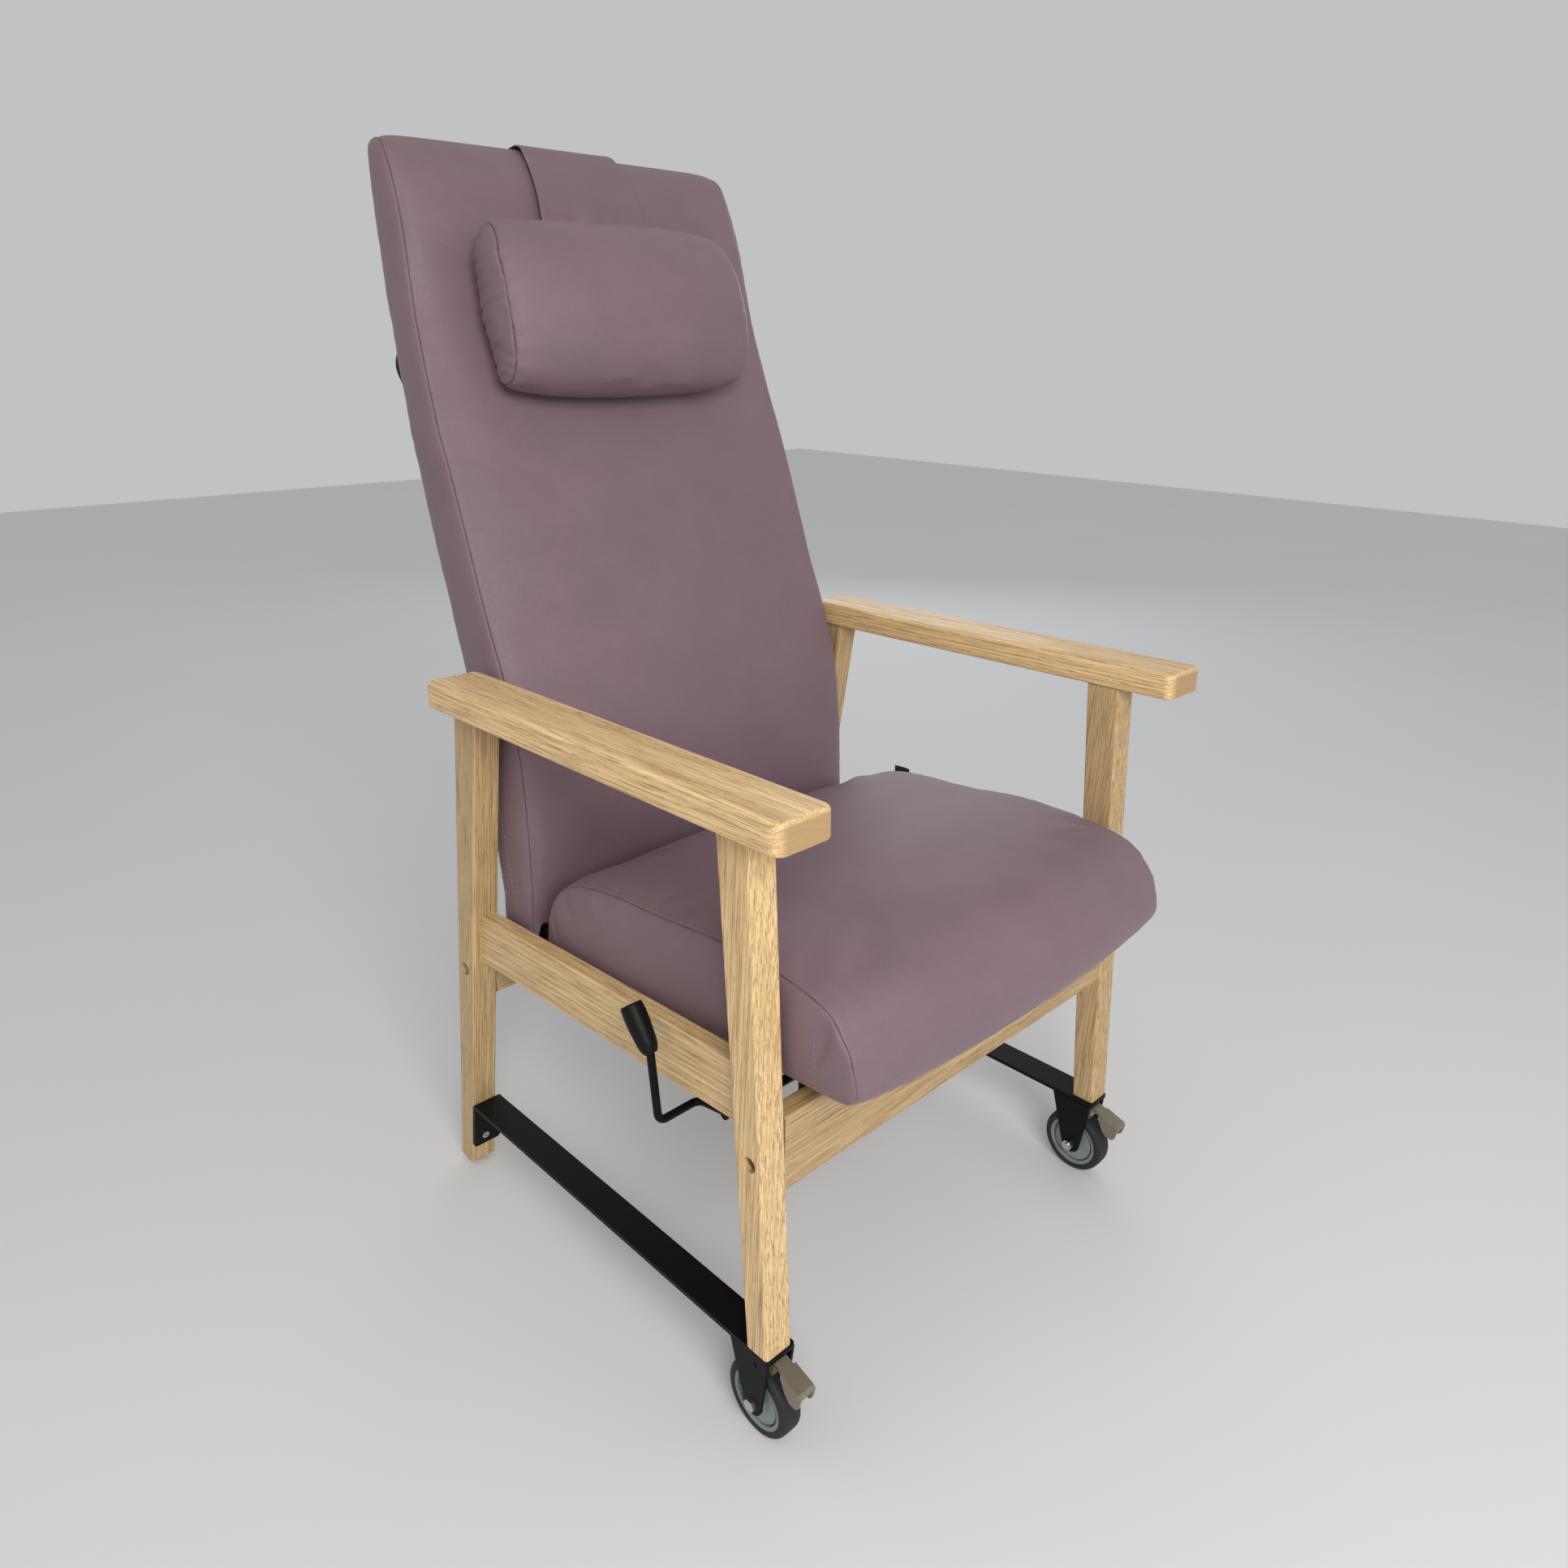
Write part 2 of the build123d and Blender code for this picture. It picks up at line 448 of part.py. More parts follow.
with BuildPart() as axle_bolts:
    for s in (1, -1):
        outer = ear_x + EAR_THICK
        with Locations(Plane.YZ.offset(s * WHEEL_X) * Pos(WHEEL_Y, WHEEL_R)):
            Cylinder(radius=AXLE_R, height=2 * outer + 18)
        with BuildSketch(Plane.YZ.offset(s * (WHEEL_X + outer)) * Pos(WHEEL_Y, WHEEL_R)):
            RegularPolygon(radius=7.0, side_count=6)
        extrude(amount=s * 4)
        with Locations(Plane.YZ.offset(s * (WHEEL_X + outer + 4)) * Pos(WHEEL_Y, WHEEL_R)):
            Cylinder(radius=12, height=12, mode=Mode.SUBTRACT,
                     align=(Align.CENTER, Align.CENTER, Align.MIN if s > 0 else Align.MAX))
export(axle_bolts.part, "axle_bolts")

with BuildPart() as axle_nuts:
    for s in (1, -1):
        with BuildSketch(Plane.YZ.offset(s * (WHEEL_X - ear_x - EAR_THICK)) * Pos(WHEEL_Y, WHEEL_R)):
            RegularPolygon(radius=7.0, side_count=6)
            Circle(AXLE_R, mode=Mode.SUBTRACT)
        extrude(amount=-s * 6.5)
export(axle_nuts.part, "axle_nuts")

with BuildPart() as pedal_pins:
    for s in (1, -1):
        with Locations(Plane.YZ.offset(s * WHEEL_X) * Pos(*PEDAL_PIN)):
            Cylinder(radius=PEDAL_PIN_R, height=EAR_GAP + 2 * EAR_THICK + 1.5)
export(pedal_pins.part, "pedal_pins")

# ================================================================ seat
def seat_floor(y, drop=0.0):
    """Height of the seat cushion's underside at y, or that far below it."""
    return SEAT_FRONT_BOTTOM_Z - (y + 308.0) * tan(radians(SEAT_SLOPE)) - drop


PAN_Y, PAN_HALF = (-300.0, 70.0), SEAT_HALF - 12
pan_screw_spots = [(s * (BEARER_X + 15), y) for s in (1, -1) for y in (-190.0, 0.0)]
with BuildPart() as pan_screws:
    for x, y in pan_screw_spots:
        with Locations(Plane(origin=(x, y, seat_floor(y, BEARER_WALL)), x_dir=(1, 0, 0),
                             z_dir=(0, -sin(radians(SEAT_SLOPE)), -cos(radians(SEAT_SLOPE))))):
            Cylinder(radius=2.5, height=14, align=(Align.CENTER, Align.CENTER, Align.MAX))
            Cylinder(radius=4.5, height=2.6, align=(Align.CENTER, Align.CENTER, Align.MIN))
export(pan_screws.part, "pan_screws")

with BuildPart() as seat_pan:  # plywood let into the underside of the cushion
    with BuildSketch(Plane.YZ.offset(-PAN_HALF)):
        with BuildLine():
            Polyline((PAN_Y[0], seat_floor(PAN_Y[0])), (PAN_Y[1], seat_floor(PAN_Y[1])),
                     (PAN_Y[1], seat_floor(PAN_Y[1], -PAN_THICK)),
                     (PAN_Y[0], seat_floor(PAN_Y[0], -PAN_THICK)), close=True)
        make_face()
    extrude(amount=2 * PAN_HALF)
    add(pan_screws.part, mode=Mode.SUBTRACT)
export(seat_pan.part, "seat_pan")

with BuildPart() as seat_cushion:
    with BuildSketch(Plane.YZ.offset(-SEAT_HALF)):
        with BuildLine():
            Line((-308.0, seat_floor(-308.0)), (80.0, seat_floor(80.0)))
            Spline((80.0, seat_floor(80.0)), (81.0, 385.0), (72.0, 418.0), (51.0, 443.0))
            Spline((51.0, 443.0), (20.0, 460.0), (-60.0, 474.0), (-211.0, 487.5), (-290.0, 486.5),
                   (-343.0, 475.0), (-375.0, 449.0), (-388.0, 404.5))
            Spline((-388.0, 404.5), (-380.0, 396.0), (-345.0, 389.0), (-308.0, seat_floor(-308.0)))
        make_face()
    extrude(amount=2 * SEAT_HALF)
    with BuildSketch(Plane.YZ.offset(-PAN_HALF)):
        with BuildLine():
            Polyline((PAN_Y[0], seat_floor(PAN_Y[0], 1)), (PAN_Y[1], seat_floor(PAN_Y[1], 1)),
                     (PAN_Y[1], seat_floor(PAN_Y[1], -PAN_THICK)),
                     (PAN_Y[0], seat_floor(PAN_Y[0], -PAN_THICK)), close=True)
        make_face()
    extrude(amount=2 * PAN_HALF, mode=Mode.SUBTRACT)
export(seat_cushion.part, "seat_cushion")

with BuildPart() as seat_tag:  # small blank tag sewn into the seam on the left side
    with Locations((SEAT_HALF + 0.6, -4.0, 461.0)):
        Box(1.2, 24, 13)
export(seat_tag.part, "seat_tag")

for side, s in SIDES.items():
    with BuildPart() as bearer:  # steel angle from the front to the rear cross rail
        for width, drop in ((BEARER_FLANGE, BEARER_WALL), (BEARER_WALL, BEARER_DEPTH)):
            with BuildSketch(Plane.YZ.offset(s * BEARER_X)):
                with BuildLine():
                    Polyline((front_rail_rear, seat_floor(front_rail_rear)),
                             (85.0, seat_floor(85.0)), (85.0, seat_floor(85.0, drop)),
                             (front_rail_rear, seat_floor(front_rail_rear, drop)), close=True)
                make_face()
            extrude(amount=s * width)
        with BuildSketch(Plane.YZ.offset(s * BEARER_X)):
            with BuildLine():
                Polyline((85.0, seat_floor(85.0)), (100.0, 335.0), (REAR_RAIL_Y, 335.0),
                         (REAR_RAIL_Y, 305.0), (100.0, 305.0), (60.0, seat_floor(60.0, BEARER_DEPTH)),
                         (60.0, seat_floor(60.0)), close=True)
            make_face()
        extrude(amount=s * BEARER_WALL)
        flange_mid = s * (BEARER_X + BEARER_FLANGE / 2)
        with Locations((flange_mid, front_rail_rear + 2, 353.0)):
            Box(BEARER_FLANGE, 4, 60)
        with Locations((flange_mid, REAR_RAIL_Y - 2, 320.0)):
            Box(BEARER_FLANGE, 4, 30)
        add(frame_screws.part, mode=Mode.SUBTRACT)
        add(pan_screws.part, mode=Mode.SUBTRACT)
    export(bearer.part, f"seat_bearer_{side}")

# ================================================================ back: board, cushion, cover
BACK_FRONT = ((112.0, 367.0), (103.0, 392.0), (101.5, 443.0), (105.0, 513.0), (113.0, 581.0),
              (134.0, 652.0), (161.0, 716.0), (208.0, 845.0), (242.0, 929.0), (270.0, 1013.0),
              (292.0, 1107.0), (313.0, 1162.0), (334.0, 1187.0))  # (y, z) of the side seam
BACK_REAR = ((168.0, 366.0), (170.0, 400.0), (195.0, 520.0), (221.0, 643.0), (270.0, 796.0),
             (312.0, 940.0), (343.0, 1056.0), (363.0, 1176.0))
back_outline = [(250.0, 360.0), (247.0, 640.0), (245.0, 900.0), (226.0, 1210.0)]


def rear_y(z):
    """y of the back's rear face, straight between the points of its outline."""
    for low, high in zip(BACK_REAR, BACK_REAR[1:]):
        if low[1] <= z <= high[1]:
            return along(low, high, z)


def rear_lean(z):
    return atan2(rear_y(z + 20) - rear_y(z - 20), 40)


back_screw_spots = [(s * HINGE_X + dx, z) for s in (1, -1) for dx in (-25, 25) for z in (414.0, 458.0)]
back_screw_spots += [(s * HANDLE_HALF, z) for s in (1, -1) for z in (868.0, 922.0)]
with BuildPart() as back_screws:  # twelve alike: hinge plate and handle feet into the board
    for x, z in back_screw_spots:
        lean = rear_lean(z)
        seat = Plane(origin=(x, rear_y(z) + 5 * cos(lean), z - 5 * sin(lean)), x_dir=(1, 0, 0),
                     z_dir=(0, cos(lean), -sin(lean)))
        with Locations(seat):
            Cylinder(radius=2.5, height=18, align=(Align.CENTER, Align.CENTER, Align.MAX))
            Cylinder(radius=4.5, height=2.6, align=(Align.CENTER, Align.CENTER, Align.MIN))
        with BuildSketch(seat.offset(2.6)):
            RegularPolygon(radius=1.9, side_count=6)
        extrude(amount=-1.5, mode=Mode.SUBTRACT)
export(back_screws.part, "back_screws")

with BuildPart() as back_solid:  # the whole upholstered back, cut up below
    with BuildSketch(Plane.YZ.offset(-260)):
        with BuildLine():
            rear = Spline(*BACK_REAR)
            front = Spline(*BACK_FRONT)
            Line(rear @ 0, front @ 0)
            ThreePointArc(front @ 1, (349.0, 1191.3), rear @ 1)
        make_face()
    extrude(amount=520)
    with BuildSketch(Plane.XZ):
        with BuildLine():
            Polyline(*[(-x, z) for x, z in back_outline], *back_outline[::-1], close=True)
        make_face()
        fillet([v for v in vertices() if v.Y > 1200], radius=34)
    extrude(amount=-500, mode=Mode.INTERSECT)

with BuildPart() as back_board:  # bent plywood behind the foam
    with BuildSketch(Plane.YZ.offset(-260)):
        with BuildLine():
            behind = Spline(*[(y - COVER_THICK, z) for y, z in BACK_REAR])
            ahead = Spline(*[(y - COVER_THICK - BOARD_THICK, z) for y, z in BACK_REAR])
            Line(behind @ 0, ahead @ 0)
            Line(behind @ 1, ahead @ 1)
        make_face()
    extrude(amount=520)
    with BuildSketch(Plane.XZ):
        with BuildLine():
            Polyline((-236, 380), (236, 380), (233, 900), (216, 1150), (-216, 1150), (-233, 900),
                     (-236, 380))
        make_face()
        fillet([v for v in vertices() if v.Y > 1100], radius=30)
    extrude(amount=-500, mode=Mode.INTERSECT)
    add(back_screws.part, mode=Mode.SUBTRACT)
export(back_board.part, "back_board")

with BuildPart() as cover_zone:
    with BuildSketch(Plane.YZ.offset(-300)):
        with BuildLine():
            split = Spline(*[(y - COVER_THICK, z) for y, z in BACK_REAR])
            Polyline(split @ 0, (168.0 - COVER_THICK, 340), (600, 340), (600, 1250), (360, 1250), split @ 1)
        make_face()
    extrude(amount=600)

with BuildPart() as back_cushion:
    add(back_solid.part)
    add(cover_zone.part, mode=Mode.SUBTRACT)
    add(back_board.part, mode=Mode.SUBTRACT)
    add(back_screws.part, mode=Mode.SUBTRACT)
export(back_cushion.part, "back_cushion")

with BuildPart() as back_cover:  # upholstered panel closing the rear of the back
    add(back_solid.part)
    add(cover_zone.part, mode=Mode.INTERSECT)
    add(back_screws.part, mode=Mode.SUBTRACT)
export(back_cover.part, "back_cover")

# ================================================================ back hinge
with BuildPart() as back_bracket:  # plate with two hinge ears and the gas spring's fork
    low, high = 404.0, 468.0
    with BuildSketch(Plane.YZ.offset(-(HINGE_X + 35))):
        with BuildLine():
            Polyline((rear_y(low) - 1.5, low), (rear_y(high) - 1.5, high),
                     (rear_y(high) + 5, high - 1), (rear_y(low) + 5, low - 1), close=True)
        make_face()
    extrude(amount=2 * (HINGE_X + 35))
    for s in (1, -1):
        with BuildSketch(Plane.YZ.offset(s * HINGE_X - 3)):
            with BuildLine():
                Polyline((rear_y(408) + 2, 408), (rear_y(452) + 2, 452), (HINGE[0] + 6, HINGE[1] + 7),
                         (HINGE[0] + 6, HINGE[1] - 7), close=True)
            make_face()
            with Locations(HINGE):
                Circle(9.5)
        extrude(amount=6)
        with Locations(Plane.YZ.offset(s * HINGE_X) * Pos(*HINGE)):
            Cylinder(radius=HINGE_PIN_R + RUN, height=30, mode=Mode.SUBTRACT)
    for dx in (6.5, -10.5):
        with BuildSketch(Plane.YZ.offset(SPRING_X + dx)):
            with BuildLine():
                Polyline((rear_y(430) + 2, 430), (rear_y(430) + 9, 430), (rear_y(404) + 11, 404),
                         (SPRING_REAR[0] + 9.2, SPRING_REAR[1] + 2), SPRING_REAR,
                         (SPRING_REAR[0] - 8.5, SPRING_REAR[1] + 4), (171.0, 362.0), (171.5, 400.0),
                         close=True)
            make_face()
            with Locations(SPRING_REAR):
                Circle(9.5)
        extrude(amount=4)
    with Locations(Plane.YZ.offset(SPRING_X) * Pos(*SPRING_REAR)):
        Cylinder(radius=SPRING_PIN_R, height=60, mode=Mode.SUBTRACT)
    add(back_solid.part, mode=Mode.SUBTRACT)
    add(back_screws.part, mode=Mode.SUBTRACT)
export(back_bracket.part, "back_bracket")

for side, s in SIDES.items():
    with BuildPart() as hinge_bracket:  # fork on top of the rear rail
        with Locations((s * HINGE_X, 194.0, REAR_RAIL_Z[1] + 2)):
            Box(40, 24, 4)
        with BuildSketch(Plane.YZ.offset(s * HINGE_X - 8)):
            with BuildLine():
                Polyline((183.0, REAR_RAIL_Z[1]), (205.0, REAR_RAIL_Z[1]), (205.0, HINGE[1]),
                         (181.5, HINGE[1]), (181.5, 380.0), close=True)
            make_face()
            with Locations(HINGE):
                Circle(11.7)
        extrude(amount=16)
        with Locations((s * HINGE_X, 194.0, REAR_RAIL_Z[1] + 4)):
            Box(7.2, 60, 140, align=(Align.CENTER, Align.CENTER, Align.MIN), mode=Mode.SUBTRACT)
        with Locations(Plane.YZ.offset(s * HINGE_X) * Pos(*HINGE)):
            Cylinder(radius=HINGE_PIN_R, height=30, mode=Mode.SUBTRACT)
        add(frame_screws.part, mode=Mode.SUBTRACT)
    export(hinge_bracket.part, f"hinge_bracket_{side}")

with BuildPart() as hinge_pins:
    for s in (1, -1):
        with Locations(Plane.YZ.offset(s * HINGE_X) * Pos(*HINGE)):
            Cylinder(radius=HINGE_PIN_R, height=17)
        with Locations(Plane.YZ.offset(s * (HINGE_X + 8.5)) * Pos(*HINGE)):
            Cylinder(radius=7.5, height=3, align=(Align.CENTER, Align.CENTER,
                     Align.MIN if s > 0 else Align.MAX))
export(hinge_pins.part, "hinge_pins")

# ================================================================ gas spring and its release
spring_run = (SPRING_REAR[0] - SPRING_FRONT[0], SPRING_REAR[1] - SPRING_FRONT[1])
spring_length = hypot(*spring_run)
spring_axis = Plane(origin=(SPRING_X, *SPRING_FRONT), x_dir=(1, 0, 0), z_dir=(0, *spring_run))
CYL_START, CYL_END, CYL_R = 100.0, 300.0, 12.0
ROD_R = 5.0
across = (Align.CENTER, Align.CENTER, Align.MIN)

with BuildPart() as gas_spring_bracket:
    with Locations((SPRING_X, front_rail_rear + 2, 313.0)):
        Box(60, 4, 52)
    for dx in (11.5, -15.5):
        with BuildSketch(Plane.YZ.offset(SPRING_X + dx)):
            with BuildLine():
                Polyline((front_rail_rear, 337.0), (SPRING_FRONT[0] + 4, SPRING_FRONT[1] + 10.5),
                         (SPRING_FRONT[0] + 4, SPRING_FRONT[1] - 10.5), (front_rail_rear, 289.0),
                         close=True)
            make_face()
            with Locations(SPRING_FRONT):
                Circle(11)
        extrude(amount=4)
    with Locations(Plane.YZ.offset(SPRING_X) * Pos(*SPRING_FRONT)):
        Cylinder(radius=SHAFT_R + RUN, height=80, mode=Mode.SUBTRACT)
    add(frame_screws.part, mode=Mode.SUBTRACT)
export(gas_spring_bracket.part, "gas_spring_bracket")

hanger_x = -(BEARER_X + BEARER_WALL)
with BuildPart() as shaft_hanger:  # outer bearing of the release shaft, welded to the bearer
    with BuildSketch(Plane.YZ.offset(hanger_x)):
        with BuildLine():
            Polyline((-240.0, seat_floor(-240.0, 8)), (-210.0, seat_floor(-210.0, 8)),
                     (SPRING_FRONT[0] + 11, SPRING_FRONT[1]), (SPRING_FRONT[0] - 11, SPRING_FRONT[1]),
                     close=True)
        make_face()
        with Locations(SPRING_FRONT):
            Circle(11)
    extrude(amount=-5)
    with Locations(Plane.YZ.offset(hanger_x) * Pos(*SPRING_FRONT)):
        Cylinder(radius=SHAFT_R + RUN, height=40, mode=Mode.SUBTRACT)
export(shaft_hanger.part, "shaft_hanger")

with BuildPart() as gas_spring_head:  # fork round the shaft, screwed on the piston rod
    with BuildSketch(Plane.YZ.offset(SPRING_X - 10.5)):
        with Locations(SPRING_FRONT):
            Circle(9.5)
            with Locations(Rot(0, 0, degrees(atan2(spring_run[1], spring_run[0])))):
                with Locations((19, 0)):
                    Rectangle(38, 19)
    extrude(amount=21)
    with Locations(spring_axis):
        Box(11, 40, 36, mode=Mode.SUBTRACT)
        Cylinder(radius=ROD_R, height=80, mode=Mode.SUBTRACT)
    with Locations(Plane.YZ.offset(SPRING_X) * Pos(*SPRING_FRONT)):
        Cylinder(radius=SHAFT_R + RUN, height=40, mode=Mode.SUBTRACT)
export(gas_spring_head.part, "gas_spring_head")

with BuildPart() as gas_spring_rod:
    with Locations(spring_axis.offset(20)):
        Cylinder(radius=ROD_R, height=220, align=across)
    with Locations(spring_axis.offset(226)):
        Cylinder(radius=CYL_R - 1.5 - RUN, height=14, align=across)
    with Locations(spring_axis.offset(20)):
        Cylinder(radius=2 + RUN, height=30, align=across, mode=Mode.SUBTRACT)
export(gas_spring_rod.part, "gas_spring_rod")

PIN_TIP = 10.8
with BuildPart() as release_pin:
    with Locations(spring_axis.offset(PIN_TIP + 2)):
        Cylinder(radius=2, height=30, align=across)
        Sphere(radius=2)
export(release_pin.part, "release_pin")

with BuildPart() as gas_spring_cylinder:
    with Locations(spring_axis.offset(CYL_START)):
        Cylinder(radius=CYL_R, height=CYL_END - CYL_START, align=across)
    with Locations(spring_axis.offset(CYL_END - 1)):
        Cylinder(radius=4.5, height=spring_length - CYL_END + 1 - 8, align=across)
    with BuildSketch(Plane.YZ.offset(SPRING_X - 5)):
        with Locations(SPRING_REAR):
            Circle(11)
    extrude(amount=10)
    with Locations(Plane.YZ.offset(SPRING_X) * Pos(*SPRING_REAR)):
        Cylinder(radius=SPRING_EYE_R, height=40, mode=Mode.SUBTRACT)
    with Locations(spring_axis.offset(CYL_START - 1)):
        Cylinder(radius=ROD_R + RUN, height=40, align=across, mode=Mode.SUBTRACT)
    with Locations(spring_axis.offset(CYL_START + 16)):
        Cylinder(radius=CYL_R - 1.5, height=CYL_END - CYL_START - 24, align=across,
                 mode=Mode.SUBTRACT)
export(gas_spring_cylinder.part, "gas_spring_cylinder")

with BuildPart() as gas_spring_pin:
    with Locations(Plane.YZ.offset(SPRING_X) * Pos(*SPRING_REAR)):
        Cylinder(radius=SPRING_PIN_R, height=23)
    with Locations(Plane.YZ.offset(SPRING_X + 10.5) * Pos(*SPRING_REAR)):
        Cylinder(radius=6.5, height=2.5, align=across)
export(gas_spring_pin.part, "gas_spring_pin")

spring_tilt = atan2(spring_run[1], spring_run[0])
cam_tip = (SPRING_FRONT[0] + 13 * cos(spring_tilt - radians(15)),
           SPRING_FRONT[1] + 13 * sin(spring_tilt - radians(15)))
with BuildPart() as release_shaft:  # cross shaft with the cam that presses the release pin
    with Locations(Plane.YZ.offset(-256) * Pos(*SPRING_FRONT)):
        Cylinder(radius=SHAFT_R, height=152, align=across)
    with BuildSketch(Plane.YZ.offset(SPRING_X - 3)):
        with BuildLine():
            Polyline((SPRING_FRONT[0] + 4.0, SPRING_FRONT[1] + 5.0), cam_tip,
                     (SPRING_FRONT[0] + 2.0, SPRING_FRONT[1] - 6.0),
                     (SPRING_FRONT[0] - 5.0, SPRING_FRONT[1]), close=True)
        make_face()
    extrude(amount=6)
export(release_shaft.part, "release_shaft")

grip_base, grip_top = (-173.2, 376.0), (-147.4, 410.0)
rod_low = (-182.6, 302.0)
with BuildPart() as release_rod:
    with BuildLine() as rod_path:
        FilletPolyline((LEVER_X, -152.0, 404.0), (LEVER_X, *grip_base), (LEVER_X, *rod_low),
                       (LEVER_TAIL_X, *rod_low), (LEVER_TAIL_X, *SPRING_FRONT), radius=9)
    with BuildSketch(Plane(origin=rod_path.line @ 0, z_dir=rod_path.line % 0)):
        Circle(LEVER_ROD_R)
    sweep(path=rod_path.line)
    add(release_shaft.part, mode=Mode.SUBTRACT)
export(release_rod.part, "release_rod")

grip_run = (grip_top[0] - grip_base[0], grip_top[1] - grip_base[1])
grip_length = hypot(*grip_run) + 6
with BuildPart() as lever_grip:
    with BuildSketch(Plane(origin=(LEVER_X, *grip_base), x_dir=(1, 0, 0),
                           z_dir=(0, -grip_run[1], grip_run[0]))):
        with BuildLine():
            Line((0, -3), (6.0, -3))
            Spline((6.0, -3), (8.0, 0.5), (10.2, 13.0), (11.2, 27.0), (10.8, grip_length - 5))
            ThreePointArc((10.8, grip_length - 5), (10.2, grip_length - 3.6), (8.8, grip_length - 3))
            Polyline((8.8, grip_length - 3), (8.3, grip_length - 3.5), (2.4, grip_length - 3.5),
                     (1.6, grip_length - 4.8), (0, grip_length - 5.0), (0, -3))
        make_face()
    revolve(axis=Axis(origin=(LEVER_X, *grip_base), direction=(0, *grip_run)))
    add(release_rod.part, mode=Mode.SUBTRACT)
export(lever_grip.part, "lever_grip")

# ================================================================ push handle
handle_foot_z = 895.0
foot_lean = rear_lean(handle_foot_z)
handle_dir = (HANDLE_Y - rear_y(handle_foot_z), HANDLE_Z - handle_foot_z)
handle_reach = hypot(*handle_dir)
handle_plane = Plane(origin=(0, HANDLE_Y, HANDLE_Z), x_dir=(1, 0, 0),
                     z_dir=(0, -handle_dir[1], handle_dir[0]))
with BuildPart() as push_handle:  # bent tube on two welded feet
    with BuildLine(handle_plane) as bow:
        FilletPolyline((-HANDLE_HALF, -handle_reach), (-HANDLE_HALF, 0), (HANDLE_HALF, 0),
                       (HANDLE_HALF, -handle_reach), radius=34)
    with BuildSketch(Plane(origin=bow.line @ 0, z_dir=bow.line % 0)):
        Circle(HANDLE_R)
    sweep(path=bow.line)
    for s in (1, -1):
        foot = Plane(origin=(s * HANDLE_HALF, rear_y(handle_foot_z), handle_foot_z),
                     x_dir=(1, 0, 0), z_dir=(0, cos(foot_lean), -sin(foot_lean)))
        with BuildSketch(foot.offset(-3)):
            RectangleRounded(36, 72, 10)
        extrude(amount=8)
    add(back_solid.part, mode=Mode.SUBTRACT)
    add(back_screws.part, mode=Mode.SUBTRACT)
export(push_handle.part, "push_handle")

with BuildPart() as handle_grip:
    with Locations(Plane.YZ.offset(-168) * Pos(HANDLE_Y, HANDLE_Z)):
        Cylinder(radius=HANDLE_R + 3, height=336, align=across)
        Cylinder(radius=HANDLE_R, height=336, align=across, mode=Mode.SUBTRACT)
export(handle_grip.part, "handle_grip")

# ================================================================ head pillow on its strap
with BuildPart() as head_pillow:
    with BuildSketch(Plane.YZ.offset(PILLOW_X[0])):
        with Locations(Pos(*PILLOW_AT) * Rot(0, 0, -PILLOW_TILT)):
            Ellipse(42, 90)
    extrude(amount=PILLOW_X[1] - PILLOW_X[0])
    fillet(head_pillow.edges(), radius=10)
export(head_pillow.part, "head_pillow")

def outward(points, amount):
    """The points of an open outline, each moved square to it, to the left of its travel."""
    moved = []
    for k, (y, z) in enumerate(points):
        before, after = points[max(k - 1, 0)], points[min(k + 1, len(points) - 1)]
        dy, dz = after[0] - before[0], after[1] - before[1]
        moved.append((y - amount * dz / hypot(dy, dz), z + amount * dy / hypot(dy, dz)))
    return moved


with BuildPart() as pillow_strap:  # over the top of the back, down both faces
    with BuildSketch(Plane.YZ.offset(STRAP_X[0])):
        with BuildLine():
            strap_front = Spline(*outward(BACK_FRONT[8:], STRAP_THICK))
            strap_rear = Spline(*outward(BACK_REAR[5:], -STRAP_THICK))
            ThreePointArc(strap_front @ 1, (349.5, 1194.2), strap_rear @ 1)
            Polyline(strap_front @ 0, (260.0, 942.0), (300.0, 1010.0), strap_rear @ 0)
        make_face()
    extrude(amount=STRAP_X[1] - STRAP_X[0])
    add(back_solid.part, mode=Mode.SUBTRACT)
export(pillow_strap.part, "pillow_strap")

weight_z = 1010.0
with BuildPart() as counterweight:  # flat weighted pad that balances the pillow
    lean = rear_lean(weight_z)
    face = Plane(origin=(-2.5, rear_y(weight_z) + 5.5, weight_z), x_dir=(1, 0, 0),
                 z_dir=(0, cos(lean), -sin(lean)))
    with BuildSketch(face):
        RectangleRounded(130, 90, 12)
    extrude(amount=16)
    fillet(counterweight.faces().sort_by(Axis.Y)[-1].edges(), radius=5)
export(counterweight.part, "counterweight")
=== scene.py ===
"""Patient recliner chair: upholstery, oak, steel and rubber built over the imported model."""
import math
import random
import bpy
import bmesh
import numpy as np
from mathutils import Matrix, Vector


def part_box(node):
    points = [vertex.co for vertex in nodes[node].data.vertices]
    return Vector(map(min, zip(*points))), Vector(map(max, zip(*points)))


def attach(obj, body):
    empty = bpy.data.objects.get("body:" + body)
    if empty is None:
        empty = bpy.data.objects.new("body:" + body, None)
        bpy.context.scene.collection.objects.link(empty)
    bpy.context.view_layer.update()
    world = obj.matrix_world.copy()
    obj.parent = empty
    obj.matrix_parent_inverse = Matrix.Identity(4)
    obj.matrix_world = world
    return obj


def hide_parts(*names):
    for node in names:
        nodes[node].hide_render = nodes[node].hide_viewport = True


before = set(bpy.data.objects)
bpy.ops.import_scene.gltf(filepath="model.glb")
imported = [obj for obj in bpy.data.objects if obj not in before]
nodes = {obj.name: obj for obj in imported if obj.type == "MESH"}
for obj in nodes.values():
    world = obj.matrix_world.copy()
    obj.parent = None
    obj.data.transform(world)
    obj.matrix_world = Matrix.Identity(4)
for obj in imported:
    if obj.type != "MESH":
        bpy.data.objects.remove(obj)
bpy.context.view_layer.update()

MM = 0.001
scene = bpy.context.scene

